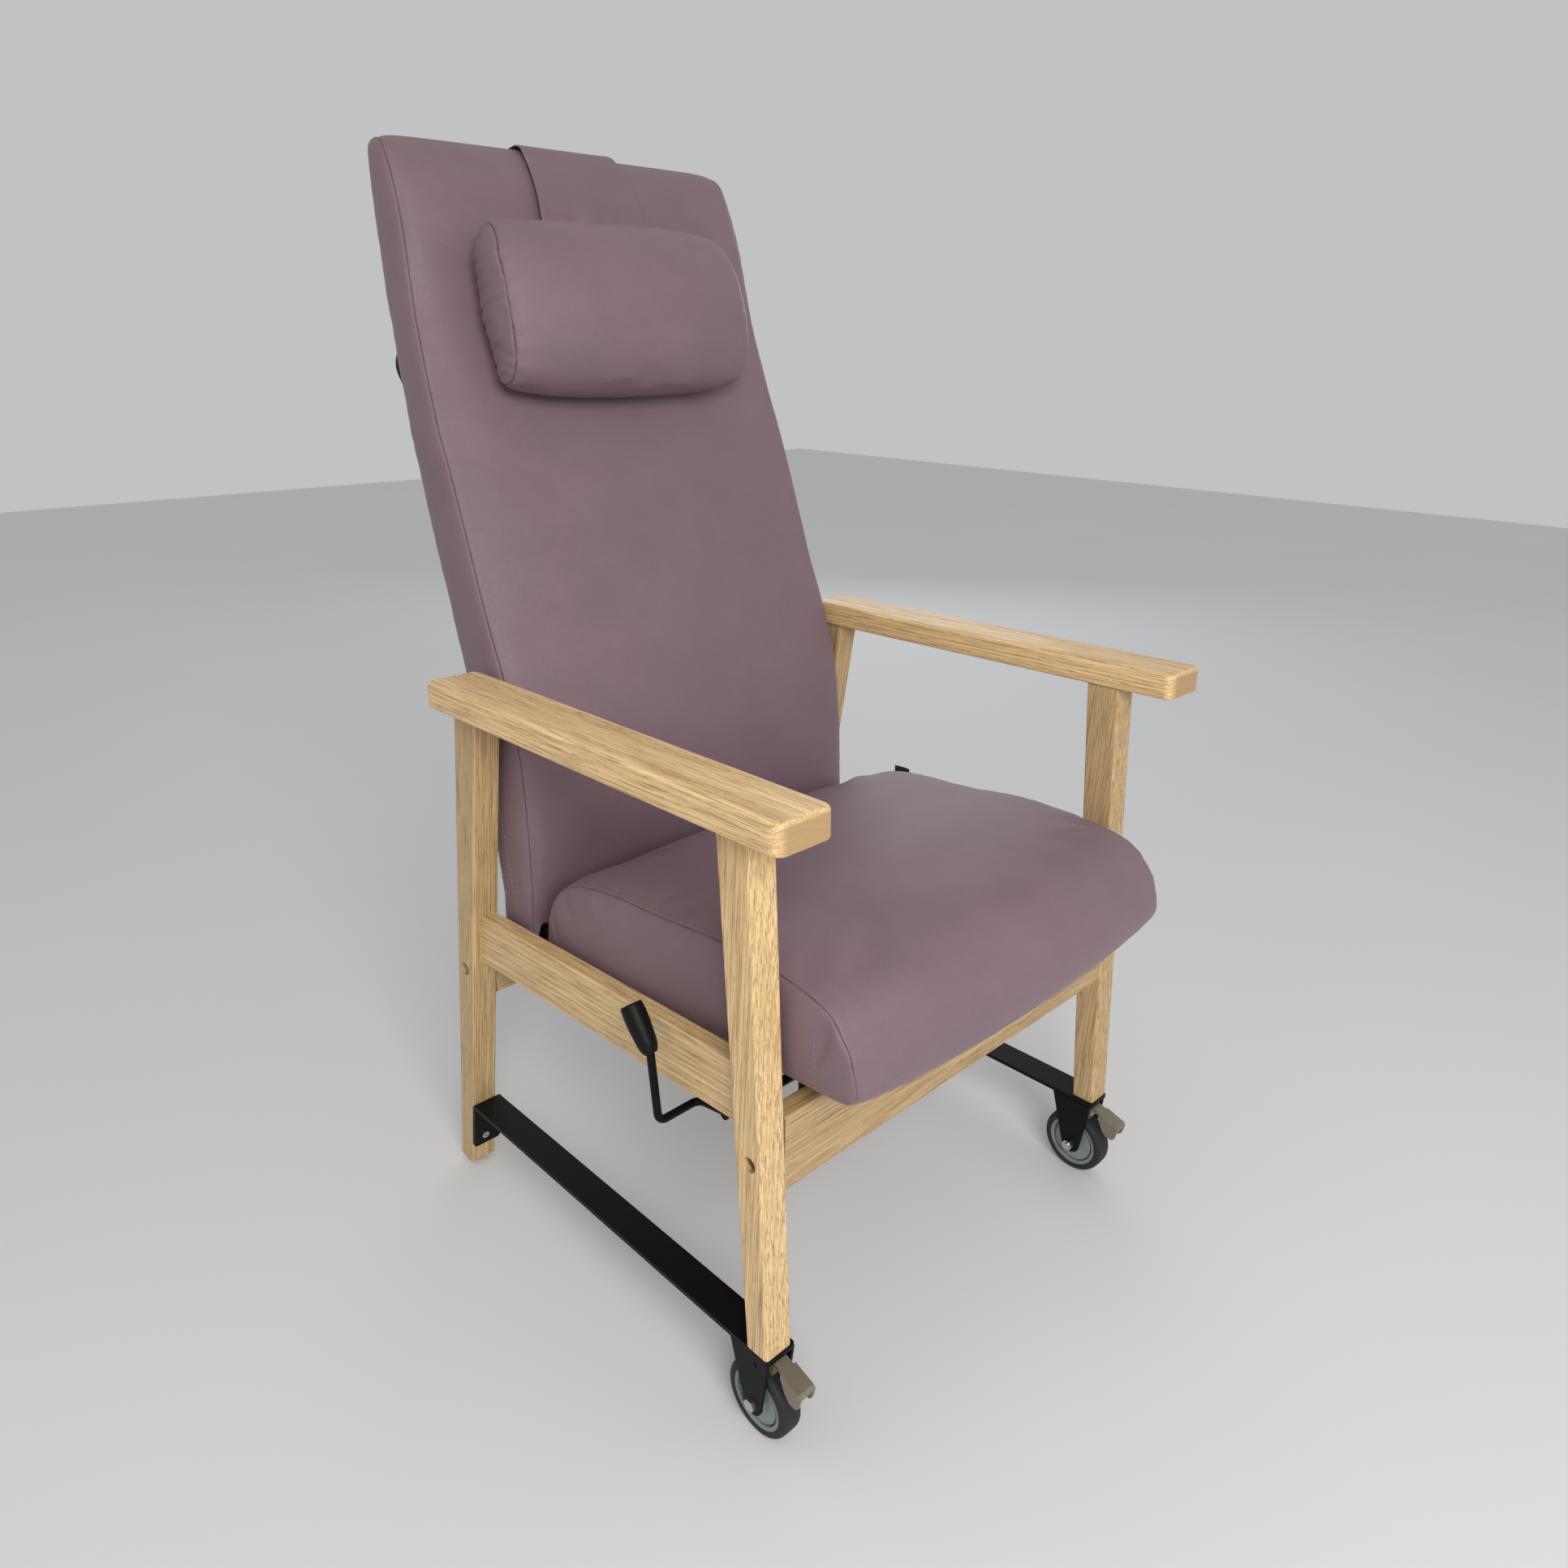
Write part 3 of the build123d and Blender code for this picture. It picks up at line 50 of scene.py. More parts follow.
# ------------------------------------------------------------------ camera and light
RIGHT = (0.71929, -0.69464, 0.00939)
UP = (0.22582, 0.24657, 0.94245)
BACK = (-0.65698, -0.67578, 0.33422)
camera_data = bpy.data.cameras.new("camera")
camera = bpy.data.objects.new("camera", camera_data)
scene.collection.objects.link(camera)
turn = Matrix((RIGHT, UP, BACK)).transposed().to_4x4()
camera.matrix_world = Matrix.Translation((-0.83694, -0.90029, 0.99577)) @ turn
camera_data.sensor_width = 36
camera_data.lens = 26.235
camera_data.shift_x = -0.00101
camera_data.shift_y = -0.02674
camera_data.clip_start = 0.02
scene.camera = camera
scene.view_settings.view_transform = "Standard"


def area_light(name, place, target, size, power, tint):
    data = bpy.data.lights.new(name, "AREA")
    data.shape, data.size, data.size_y = "RECTANGLE", size[0], size[1]
    data.energy, data.color = power, tint
    lamp = bpy.data.objects.new(name, data)
    scene.collection.objects.link(lamp)
    lamp.location = place
    lamp.rotation_euler = (Vector(target) - Vector(place)).to_track_quat("-Z", "Y").to_euler()


area_light("key", (-1.2, -2.1, 1.85), (0, -0.1, 0.55), (1.3, 1.0), 50, (1.0, 0.985, 0.95))
area_light("fill_front", (0.9, -3.2, 1.1), (0, 0, 0.5), (2.0, 1.4), 6, (1.0, 0.99, 0.97))
area_light("far_side", (2.6, 2.4, 1.35), (0, 0, 0.65), (2.0, 0.6), 10, (0.97, 0.985, 1.0))
world = bpy.data.worlds.new("world")
scene.world = world
world.use_nodes = True
world.node_tree.nodes["Background"].inputs[0].default_value = (0.97, 0.98, 1.0, 1)
world.node_tree.nodes["Background"].inputs[1].default_value = 0.55


# ------------------------------------------------------------------ materials
class Nodes:
    """Small helper for writing a material's node tree."""

    def __init__(self, name):
        self.m = bpy.data.materials.new(name)
        self.m.use_nodes = True
        self.t = self.m.node_tree
        self.bsdf = self.t.nodes["Principled BSDF"]

    def add(self, kind, links=(), **values):
        n = self.t.nodes.new(kind)
        for key, value in values.items():
            if key.startswith("in_"):
                n.inputs[key[3:].replace("_", " ")].default_value = value
            else:
                setattr(n, key, value)
        for socket, source in links:
            self.t.links.new(source, n.inputs[socket])
        return n

    def feed(self, socket, value):
        """Set an input to a number or a colour, or link it to another node's output."""
        if isinstance(value, (int, float)):
            socket.default_value = value
        elif isinstance(value, tuple):
            socket.default_value = (*value, 1)
        else:
            self.t.links.new(value, socket)

    def math(self, kind, *values):
        n = self.add("ShaderNodeMath", operation=kind)
        for socket, value in zip(n.inputs, values):
            self.feed(socket, value)
        return n.outputs[0]

    def ramp(self, source, stops):
        n = self.add("ShaderNodeValToRGB", [("Fac", source)])
        while len(n.color_ramp.elements) < len(stops):
            n.color_ramp.elements.new(0.5)
        for e, (at, c) in zip(n.color_ramp.elements, stops):
            e.position = at
            e.color = (c, c, c, 1)
        return n.outputs[0]

    def mix(self, fac, a, b, kind="MIX"):
        n = self.add("ShaderNodeMix", data_type="RGBA", blend_type=kind)
        for index, value in ((0, fac), (6, a), (7, b)):
            self.feed(n.inputs[index], value)
        return n.outputs[2]

    def mapped(self, vector, scale, location=(0, 0, 0)):
        n = self.add("ShaderNodeMapping", [("Vector", vector)])
        n.inputs["Scale"].default_value = scale
        n.inputs["Location"].default_value = location
        return n.outputs[0]

    def place(self, scale=(1, 1, 1), turn=(0, 0, 0), shift=(0, 0, 0)):
        """Object coordinates in metres, shifted, turned and scaled."""
        c = self.add("ShaderNodeTexCoord")
        back = self.add("ShaderNodeMapping", [("Vector", c.outputs["Object"])], vector_type="TEXTURE")
        back.inputs["Location"].default_value = shift
        back.inputs["Rotation"].default_value = turn
        return self.mapped(back.outputs[0], scale)

    def noise(self, vector, scale, detail, rough, distortion=0.0):
        n = self.add("ShaderNodeTexNoise", [("Vector", vector)], in_Scale=scale, in_Detail=detail,
                     in_Roughness=rough, in_Distortion=distortion)
        return n.outputs["Fac"]

    def bump(self, *layers):
        """Layers of (height, distance in metres, strength), stacked on the surface's normal."""
        last = None
        for height, distance, strength in layers:
            n = self.add("ShaderNodeBump", [("Height", height)], in_Distance=distance, in_Strength=strength)
            if last:
                self.t.links.new(last, n.inputs["Normal"])
            last = n.outputs[0]
        self.t.links.new(last, self.bsdf.inputs["Normal"])

    def out(self, color, rough, metal=0.0, specular=0.5):
        self.feed(self.bsdf.inputs["Base Color"], color)
        self.feed(self.bsdf.inputs["Roughness"], rough)
        self.bsdf.inputs["Metallic"].default_value = metal
        self.bsdf.inputs["Specular IOR Level"].default_value = specular
        return self.m


def scaled(color, factor):
    return tuple(c * factor for c in color)


def vinyl(name):
    """Wipe-clean upholstery vinyl: pebbled grain with painted shade in its valleys, broad soft shine, faint
    change of tone.
    """
    cool, warm = (0.200, 0.130, 0.160), (0.214, 0.136, 0.153)
    valley_shade = (0.085, 0.056, 0.068)
    k = Nodes(name)
    p = k.place()
    broad = k.noise(p, 3.2, 3, 0.5)
    cloud = k.noise(p, 17, 4, 0.6)
    color = k.mix(k.ramp(broad, ((0.34, 0.0), (0.66, 1.0))), cool, warm)
    shade = k.mix(k.ramp(cloud, ((0.3, 0.0), (0.7, 1.0))), (0.94, 0.94, 0.94), (1.05, 1.05, 1.05))
    color = k.mix(1.0, color, shade, "MULTIPLY")
    pebble = k.add("ShaderNodeTexVoronoi", [("Vector", p)], feature="DISTANCE_TO_EDGE", in_Scale=950.0)
    cell = k.ramp(pebble.outputs["Distance"], ((0.0, 0.0), (0.22, 1.0)))
    creases = k.noise(p, 260, 3, 0.6)
    # Painted shade: the valleys between the pebbles are darkened.
    color = k.mix(k.math("MULTIPLY", k.math("SUBTRACT", 1.0, cell), 0.22), color, valley_shade)
    rough = k.math("ADD", k.math("MULTIPLY", creases, 0.10), 0.37)
    k.bump((broad, 0.004, 0.12), (creases, 0.0004, 0.35), (cell, 0.00018, 0.5))
    k.bsdf.inputs["Sheen Weight"].default_value = 0.06
    k.bsdf.inputs["Sheen Roughness"].default_value = 0.4
    return k.out(color, rough, specular=0.36)


def oak(name, turn, shift, tone, seed):
    """Lacquered oak. The grain runs along the local Z that turn gives; shift places the tree's heart. tone
    scales the whole colour, and each member's value is painted light and shade.
    """
    light, dark = scaled((0.86, 0.63, 0.33), tone), scaled((0.60, 0.40, 0.18), tone)
    streaked, patched = scaled((0.66, 0.45, 0.215), tone), scaled((0.64, 0.43, 0.225), tone)
    fibrous, porous = scaled((0.33, 0.20, 0.09), tone), scaled((0.22, 0.13, 0.06), tone)
    end_grain = scaled((0.36, 0.225, 0.105), tone)
    k = Nodes(name)
    local = k.place(turn=turn, shift=shift)
    slow = k.mapped(local, (1, 1, 0.055), (seed, seed * 0.7, seed * 1.3))
    wander = k.add("ShaderNodeTexNoise", [("Vector", slow)], in_Scale=14.0, in_Detail=3.0,
                   in_Roughness=0.5)
    pull = k.add("ShaderNodeVectorMath", [(0, wander.outputs["Color"])], operation="SUBTRACT")
    pull.inputs[1].default_value = (0.5, 0.5, 0.5)
    size = k.add("ShaderNodeVectorMath", [(0, pull.outputs[0])], operation="SCALE")
    size.inputs["Scale"].default_value = 0.034
    flat = k.mapped(local, (1, 1, 0.012))
    moved = k.add("ShaderNodeVectorMath", [(0, flat), (1, size.outputs[0])], operation="ADD")
    rings = k.add("ShaderNodeTexWave", [("Vector", moved.outputs[0])], wave_type="RINGS",
                  rings_direction="Z", wave_profile="SAW", in_Scale=66.0, in_Distortion=1.2,
                  in_Detail=2.0, in_Detail_Scale=1.4)
    fibre = k.mapped(local, (1, 1, 0.018))
    fine = k.noise(fibre, 900, 4, 0.65)
    streak = k.noise(fibre, 190, 3, 0.6)
    pores = k.noise(k.mapped(local, (1, 1, 0.05)), 1500, 2, 0.5)
    patch = k.noise(slow, 9, 2, 0.5)
    year = k.ramp(rings.outputs["Fac"], ((0.0, 0.0), (0.55, 0.35), (0.9, 0.9), (1.0, 0.2)))
    color = k.mix(year, light, dark)
    color = k.mix(k.ramp(streak, ((0.35, 0.0), (0.68, 0.75))), color, streaked)
    color = k.mix(k.ramp(patch, ((0.42, 0.0), (0.75, 0.45))), color, patched)
    color = k.mix(k.ramp(fine, ((0.47, 0.0), (0.64, 0.9))), color, fibrous)
    early = k.ramp(rings.outputs["Fac"], ((0.55, 0.15), (0.95, 1.0)))
    pore = k.math("MULTIPLY", k.ramp(pores, ((0.56, 0.0), (0.66, 1.0))), early)
    color = k.mix(k.math("MULTIPLY", pore, 0.8), color, porous)
    facing = k.add("ShaderNodeTexCoord")
    axis = k.add("ShaderNodeVectorRotate", [("Vector", facing.outputs["Normal"])], rotation_type="EULER_XYZ")
    axis.inputs["Rotation"].default_value = turn
    parts = k.add("ShaderNodeSeparateXYZ", [("Vector", axis.outputs[0])])
    end = k.math("POWER", k.math("ABSOLUTE", parts.outputs["Z"]), 6.0)
    color = k.mix(k.math("MULTIPLY", end, 0.9), color, end_grain)
    rough = k.math("ADD", k.math("MULTIPLY", fine, 0.14), 0.36)
    k.bump((k.math("SUBTRACT", 1.0, pore), 0.0003, 0.5), (fine, 0.00015, 0.35))
    return k.out(color, rough, specular=0.42)


def coated(name, color, rough, grain, lift, metal=0.0, wear=None, specular=0.5):
    """Powder coat, paint, plated steel or moulded plastic, with a fine surface texture that stands
    lift metres proud. wear is how strongly scuffs show, and their colour."""
    k = Nodes(name)
    p = k.place()
    fine = k.noise(p, grain, 3, 0.6)
    broad = k.noise(p, 22, 4, 0.6)
    tint = k.mix(k.ramp(broad, ((0.3, 0.0), (0.7, 1.0))), scaled(color, 0.86), scaled(color, 1.16))
    if wear:
        scuff = k.ramp(k.noise(p, 75, 5, 0.7), ((0.66, 0.0), (0.74, wear[0])))
        tint = k.mix(scuff, tint, wear[1])
    r = k.math("ADD", k.math("MULTIPLY", broad, 0.16), rough - 0.08)
    k.bump((fine, lift, 0.6))
    return k.out(tint, r, metal, specular)


def brushed(name, color):
    """Bare or plated metal with fine lines along Z."""
    k = Nodes(name)
    lines = k.noise(k.place(scale=(1, 1, 0.04)), 1400, 3, 0.6)
    spots = k.noise(k.place(), 160, 3, 0.6)
    tint = k.mix(spots, scaled(color, 0.8), color)
    k.bump((lines, 0.00005, 0.4))
    return k.out(tint, k.math("ADD", k.math("MULTIPLY", lines, 0.2), 0.2), 1.0)


def woven(name, color):
    """Plain weave, with a painted highlight on the thread crowns and painted shade between the threads."""
    k = Nodes(name)
    p = k.place()
    warp = k.add("ShaderNodeTexWave", [("Vector", p)], bands_direction="X", in_Scale=420.0)
    weft = k.add("ShaderNodeTexWave", [("Vector", p)], bands_direction="Z", in_Scale=420.0)
    over = k.math("MAXIMUM", warp.outputs["Fac"], weft.outputs["Fac"])
    k.bump((over, 0.0002, 0.6))
    # Painted highlight and shade: the colour follows the weave's relief, lighter on top and darker between
    # the threads.
    return k.out(k.mix(over, scaled(color, 0.6), scaled(color, 1.5)), 0.8)


def plywood(name, turn):
    """Pale sheet or dowel wood, with its grain along the local Z that turn gives."""
    k = Nodes(name)
    p = k.place(scale=(1, 1, 0.05), turn=turn)
    grain = k.noise(p, 260, 4, 0.6)
    figure = k.noise(p, 30, 3, 0.5, 0.6)
    color = k.mix(k.ramp(figure, ((0.35, 0.0), (0.65, 1.0))), (0.62, 0.46, 0.28), (0.50, 0.35, 0.19))
    color = k.mix(k.ramp(grain, ((0.5, 0.0), (0.7, 0.5))), color, (0.36, 0.24, 0.12))
    k.bump((grain, 0.0002, 0.4))
    return k.out(color, 0.6)


def give(node, material):
    o = nodes[node]
    o.data.materials.clear()
    o.data.materials.append(material)


SIDES = ((1, "left"), (-1, "right"))
ALONG_X = (0, math.radians(90), 0)
# Each member's tone is painted light and shade: the armrest and the near (right) front leg are painted
# lighter, the far (left) front leg and the back legs darker.
for s, side in SIDES:
    for node, wood, lean, heart, tone, seed in (
            ("armrest", "oak_arm", -90.8, (s * 0.30, 0.0, 0.548), 1.14, 1.3),
            ("front_leg", "oak_front_leg", 2.8, (s * 0.215, -0.36, 0), 0.93 - 0.12 * s, 2.1),
            ("back_leg", "oak_back_leg", 9.3, (s * 0.33, 0.16, 0), 0.80, 3.7),
            ("side_rail", "oak_side_rail", -93.7, (s * 0.22, 0.0, 0.30), 0.98, 4.9)):
        give(f"{node}_{side}", oak(f"{wood}_{side}", (math.radians(lean), 0, 0), heart, tone, seed + s))
# The rails' low tones are painted shade; the front rail's stands for the seat's shadow falling over it.
give("front_cross_rail", oak("oak_front_rail", ALONG_X, (0.0, -0.345, 0.29), 0.74, 6.2))
give("rear_cross_rail", oak("oak_rear_rail", ALONG_X, (0.0, 0.14, 0.33), 0.8, 7.4))
give("joint_dowels", plywood("beech", ALONG_X))
give("seat_pan", plywood("plywood_seat", ALONG_X))
give("back_board", plywood("plywood_back", (0, 0, 0)))

black_steel = coated("black_powder_coat", (0.0035, 0.0035, 0.0036), 0.46, 900, 0.00012,
                     wear=(0.2, (0.018, 0.016, 0.014)), specular=0.13)
zinc = brushed("zinc_plate", (0.62, 0.61, 0.58))
for name in ("side_bar_left", "side_bar_right", "wheel_fork_left", "wheel_fork_right", "seat_bearer_left",
             "seat_bearer_right", "back_bracket", "hinge_bracket_left", "hinge_bracket_right",
             "gas_spring_bracket", "shaft_hanger", "gas_spring_head", "gas_spring_cylinder",
             "release_shaft", "release_rod", "push_handle", "pedal_pins"):
    give(name, black_steel)
for name in ("barrel_nuts", "bar_screws", "frame_screws", "pan_screws", "back_screws", "axle_bolts",
             "axle_nuts", "hinge_pins", "gas_spring_pin", "release_pin"):
    give(name, zinc)
give("frame_bolts", coated("browned_steel", (0.16, 0.10, 0.055), 0.45, 300, 0.0001, 0.7))
give("gas_spring_rod", brushed("chrome_rod", (0.78, 0.78, 0.78)))
tyre_rubber = coated("tyre_rubber", (0.018, 0.019, 0.020), 0.62, 500, 0.0002,
                     wear=(0.35, (0.07, 0.066, 0.062)), specular=0.3)
hub_plastic = coated("hub_plastic", (0.20, 0.235, 0.22), 0.48, 350, 0.00008)
pedal_paint = coated("pedal_steel", (0.235, 0.205, 0.155), 0.36, 260, 0.00008, 0.45,
                     wear=(0.4, (0.42, 0.39, 0.33)))
black_plastic = coated("black_plastic", (0.0045, 0.0046, 0.0048), 0.48, 620, 0.00014, specular=0.16)
for _, side in SIDES:
    give(f"tyre_{side}", tyre_rubber)
    give(f"wheel_hub_{side}", hub_plastic)
    give(f"hub_bearings_{side}", coated(f"nylon_{side}", (0.35, 0.35, 0.33), 0.5, 300, 0.00005))
    give(f"brake_pedal_{side}", pedal_paint)
give("rear_glides", black_plastic)
give("lever_grip", black_plastic)
give("handle_grip", coated("grip_rubber", (0.016, 0.016, 0.017), 0.66, 800, 0.0003))
mauve = vinyl("mauve_vinyl")
for name in ("seat_cushion", "back_cushion", "back_cover", "head_pillow", "pillow_strap", "counterweight"):
    give(name, mauve)
give("seat_tag", woven("tag_weave", (0.012, 0.012, 0.013)))
thread = coated("thread", (0.022, 0.012, 0.018), 0.7, 1500, 0.0001, specular=0.2)
pale_thread = coated("pale_thread", (0.36, 0.27, 0.31), 0.6, 1500, 0.0001)


# ------------------------------------------------------------------ cushion building
def smooth_line(points, count):
    """count points evenly spaced along a Catmull-Rom curve through the given points."""
    p = np.array(points, float)
    p = np.vstack([2 * p[0] - p[1], p, 2 * p[-1] - p[-2]])
    out = []
    for i in range(1, len(p) - 2):
        a, b, c, d = p[i - 1], p[i], p[i + 1], p[i + 2]
        ab, bc, cd = (max(np.linalg.norm(v), 1e-6) ** 0.5 for v in (b - a, c - b, d - c))
        m1 = (b - a) / ab - (c - a) / (ab + bc) + (c - b) / bc
        m2 = (c - b) / bc - (d - b) / (bc + cd) + (d - c) / cd
        t = np.linspace(0, 1, 40, endpoint=False)[:, None]
        out.append((2 * t**3 - 3 * t**2 + 1) * b + (t**3 - 2 * t**2 + t) * bc * m1
                   + (-2 * t**3 + 3 * t**2) * c + (t**3 - t**2) * bc * m2)
    out.append(p[-2][None])
    line = np.vstack(out)
    run = run_along(line)
    at = np.linspace(0, run[-1], count)
    return np.stack([np.interp(at, run, line[:, k]) for k in range(line.shape[1])], 1)


def run_along(line):
    """The distance of each point of line from its first, measured along it."""
    return np.r_[0, np.cumsum(np.linalg.norm(np.diff(line, axis=0), axis=1))]


def ripples(t, seed, lengths, amounts):
    """A smooth seeded unevenness along t, in the units of amounts."""
    r = random.Random(seed)
    total = np.zeros_like(t, float)
    for length, amount in zip(lengths, amounts):
        for _ in range(3):
            stretch = length * r.uniform(0.75, 1.35)
            total += amount / 2 * np.sin(2 * math.pi * t / stretch + r.uniform(0, 6.283))
    return total


def outline_normals(loop):
    """Outward unit normals of a closed (y, z) loop."""
    d = np.roll(loop, -1, 0) - np.roll(loop, 1, 0)
    n = np.stack([d[:, 1], -d[:, 0]], 1) / np.linalg.norm(d, axis=1)[:, None]
    area = np.sum(loop[:, 0] * np.roll(loop[:, 1], -1) - np.roll(loop[:, 0], -1) * loop[:, 1])
    return n if area > 0 else -n


def finished(name, bm, material):
    """A smooth-shaded object made from bm."""
    bm.verts.index_update()
    mesh = bpy.data.meshes.new(name)
    bm.to_mesh(mesh)
    bm.free()
    o = bpy.data.objects.new(name, mesh)
    scene.collection.objects.link(o)
    for f in mesh.polygons:
        f.use_smooth = True
    mesh.materials.append(material)
    return o


GROOVE_WIDTH = 1.8              # how far a sewn groove reaches from its seam, in mm
TUCK_WIDTH = 3.0                # how far beside the seam the panels are drawn in
RIPPLE_START = 2.5              # the ripples begin this far from the seam
SKIRT_END, SKIRT_FADE = 11.0, 3.5  # the skirt hangs within SKIRT_END of the seam
COLUMN_PITCH = 11               # the main panel's mesh away from its seams
SIDE_RISE = 25                  # how far from the seam a side panel swells out
SEAM_GRIP = 8.0                 # how far the seam holds the cloth still
WAY_BACK = slice(-2, 0, -1)     # a lower chain walked backwards without its two shared ends


def cushion_mesh(name, upper, lower, half, crown, spacing, *, edge, side_edge, side_bulge, groove,
                 pucker, seed, rows, shape=2.4, skirt=0.0, soft=1.0):
    """A closed cushion. upper and lower are equally long (y, z) chains that share both ends;
    the main panel carries their loop across X, and a panel closes each end. half(z) is the
    half width, crown the swell of each loop point. Seams lie where the panels meet, and the
    mesh lies closest there, at the distances in spacing. edge and side_edge are how deep the
    two panels are pulled in at the seam and over what distance; pucker is the main panel's
    ripple, its fade and its length, and the side panel's ripple. skirt is how far each loop
    point drops beside the seam, and soft how rounded it is there. Returns the object, each
    side's ring of seam vertices, and for each vertex whether it is pinned and how freely it
    moves."""
    n = len(upper) - 1
    loop = np.vstack([upper, lower[WAY_BACK]])
    normals = outline_normals(loop)
    skirt = np.zeros(len(loop)) + skirt
    soft = np.zeros(len(loop)) + soft
    hem = loop - np.column_stack([np.zeros(len(loop)), skirt])
    run = run_along(loop)
    crown = np.asarray(crown, float)
    w = np.array([half(z) for z in loop[:, 1]])
    bm = bmesh.new()
    puck, fade, length, cap_puck = pucker
    wave = {s: ripples(run, seed + 7 * s, (length, length * 2.6), (puck, puck * 0.8)) for s in (1, -1)}
    side_wave = {s: ripples(run, seed + 50 + 7 * s, (length * 0.8, length * 3), (cap_puck, cap_puck))
                 for s in (1, -1)}

    def pull(d, amounts):
        return amounts[0] * np.exp(-d / amounts[1]) + groove * np.exp(-(d / GROOVE_WIDTH) ** 2)

    columns, far = [], []
    for s in (-1, 1):
        for d in spacing if s < 0 else spacing[::-1]:
            reach = np.minimum(d, w * 0.999)
            x = s * (w - reach)
            u = np.abs(x) / w
            rise = crown * (1 - u**shape)
            rise = rise - soft * pull(reach, edge)
            rise = rise + soft * wave[s] * np.exp(-reach / fade) * (1 - np.exp(-reach / RIPPLE_START))
            drop = np.clip((SKIRT_END - reach) / SKIRT_FADE, 0, 1)[:, None]
            yz = loop * (1 - drop) + hem * drop + normals * rise[:, None]
            xx = x - s * soft * pull(reach, side_edge) * np.exp(-reach / TUCK_WIDTH)
            columns.append(np.column_stack([xx, yz]))
            far.extend(reach)
        if s < 0:
            middle = np.linspace(-1, 1, 2 * int((w.mean() - spacing[-1]) / COLUMN_PITCH) + 1)[1:-1]
            for q in middle:
                x = q * (w - spacing[-1])
                u = np.abs(x) / w
                rise = crown * (1 - u**shape) - soft * pull(w - np.abs(x), edge)
                columns.append(np.column_stack([x, loop + normals * rise[:, None]]))
                far.extend(w - np.abs(x))
    grid = [[bm.verts.new(Vector(p) * MM) for p in c] for c in columns]
    bm.verts.index_update()
    m = len(loop)
    for a, b in zip(grid, grid[1:]):
        for i in range(m):
            j = (i + 1) % m
            bm.faces.new((a[i], a[j], b[j], b[i]))
    rings = {}
    for s, ring in ((-1, grid[0]), (1, grid[-1])):
        top = ring[:n + 1]
        low = [ring[0]] + ring[:n:-1] + [ring[n]]
        inner = []
        for r in range(1, rows):
            f = 0.5 - 0.5 * math.cos(math.pi * (r / rows))
            line = []
            for i in range(1, n):
                flat = hem[i] * (1 - f) + hem[(-i) % m] * f
                gap = np.linalg.norm(hem - flat, axis=1)
                k = int(gap.argmin())
                d = gap[k]
                swell = side_bulge * (1 - math.exp(-d / SIDE_RISE)) - soft[k] * pull(d, side_edge)
                swell += soft[k] * side_wave[s][k] * math.exp(-d / fade) * (1 - math.exp(-d / RIPPLE_START))
                inward = -normals[k] * soft[k] * pull(d, edge) * math.exp(-d / TUCK_WIDTH)
                width = half(flat[1])
                line.append(bm.verts.new(Vector((s * (width + swell), *(flat + inward))) * MM))
                far.append(d)
            inner.append(line)
        for r in range(rows):
            a = top if r == 0 else [ring[0]] + inner[r - 1] + [ring[n]]
            b = low if r == rows - 1 else [ring[0]] + inner[r] + [ring[n]]
            for i in range(n):
                face = [a[i], a[i + 1], b[i + 1], b[i]]
                unique = [v for k, v in enumerate(face) if v not in face[:k]]
                if len(unique) > 2:
                    bm.faces.new(unique if s < 0 else unique[::-1])
        rings[s] = [v.index for v in ring]
    bmesh.ops.recalc_face_normals(bm, faces=bm.faces)
    o = finished(name, bm, mauve)
    held = np.zeros(len(o.data.vertices))
    for c in range(len(columns)):
        held[c * m + n:(c + 1) * m] = 1
        held[c * m] = 1
    held[:m] = held[(len(columns) - 1) * m:len(columns) * m] = 1
    return o, rings, (held, 1 - np.exp(-(np.array(far) / SEAM_GRIP) ** 2))


PRESSURE = 4.0
FRAMES = 20


def inflate(o, grip, cap, slack):
    """Cloth under a little air pressure, cut larger by slack. No point moves further than cap
    metres, the seams stay open and the pinned points don't move."""
    pinned, ease = grip
    group = o.vertex_groups.new(name="hold")
    for i, weight in enumerate(pinned):
        if weight > 0:
            group.add([i], float(weight), "REPLACE")
    before = np.array([v.co for v in o.data.vertices])
    cloth = o.modifiers.new("Cloth", "CLOTH")
    st = cloth.settings
    st.quality, st.mass = 6, 0.25
    st.tension_stiffness = st.compression_stiffness = 18
    st.shear_stiffness, st.bending_stiffness = 8, 1.2
    st.use_pressure, st.uniform_pressure_force = True, PRESSURE
    st.shrink_min = -slack
    st.vertex_group_mass = "hold"
    st.pin_stiffness = 1.0
    st.effector_weights.gravity = 0
    cloth.collision_settings.use_collision = False
    cloth.collision_settings.use_self_collision = False
    for f in range(1, FRAMES + 1):
        scene.frame_set(f)
    view = bpy.context.evaluated_depsgraph_get()
    done = o.evaluated_get(view)
    after = np.array([v.co for v in done.to_mesh().vertices])
    done.to_mesh_clear()
    o.modifiers.clear()
    move = after - before
    size = np.linalg.norm(move, axis=1, keepdims=True)
    move = move * ease[:, None] * (cap * np.tanh(size / cap) / np.maximum(size, 1e-9))
    for v, p in zip(o.data.vertices, before + move):
        v.co = p
    o.vertex_groups.clear()
    scene.frame_set(1)


def subdivide(o):
    """One round of subdivision, written into the mesh."""
    m = o.modifiers.new("Subdivision", "SUBSURF")
    m.levels = m.render_levels = 1
    m.boundary_smooth = "PRESERVE_CORNERS"
    view = bpy.context.evaluated_depsgraph_get()
    mesh = bpy.data.meshes.new_from_object(o.evaluated_get(view))
    o.modifiers.clear()
    old = o.data
    o.data = mesh
    bpy.data.meshes.remove(old)
    for f in o.data.polygons:
        f.use_smooth = True


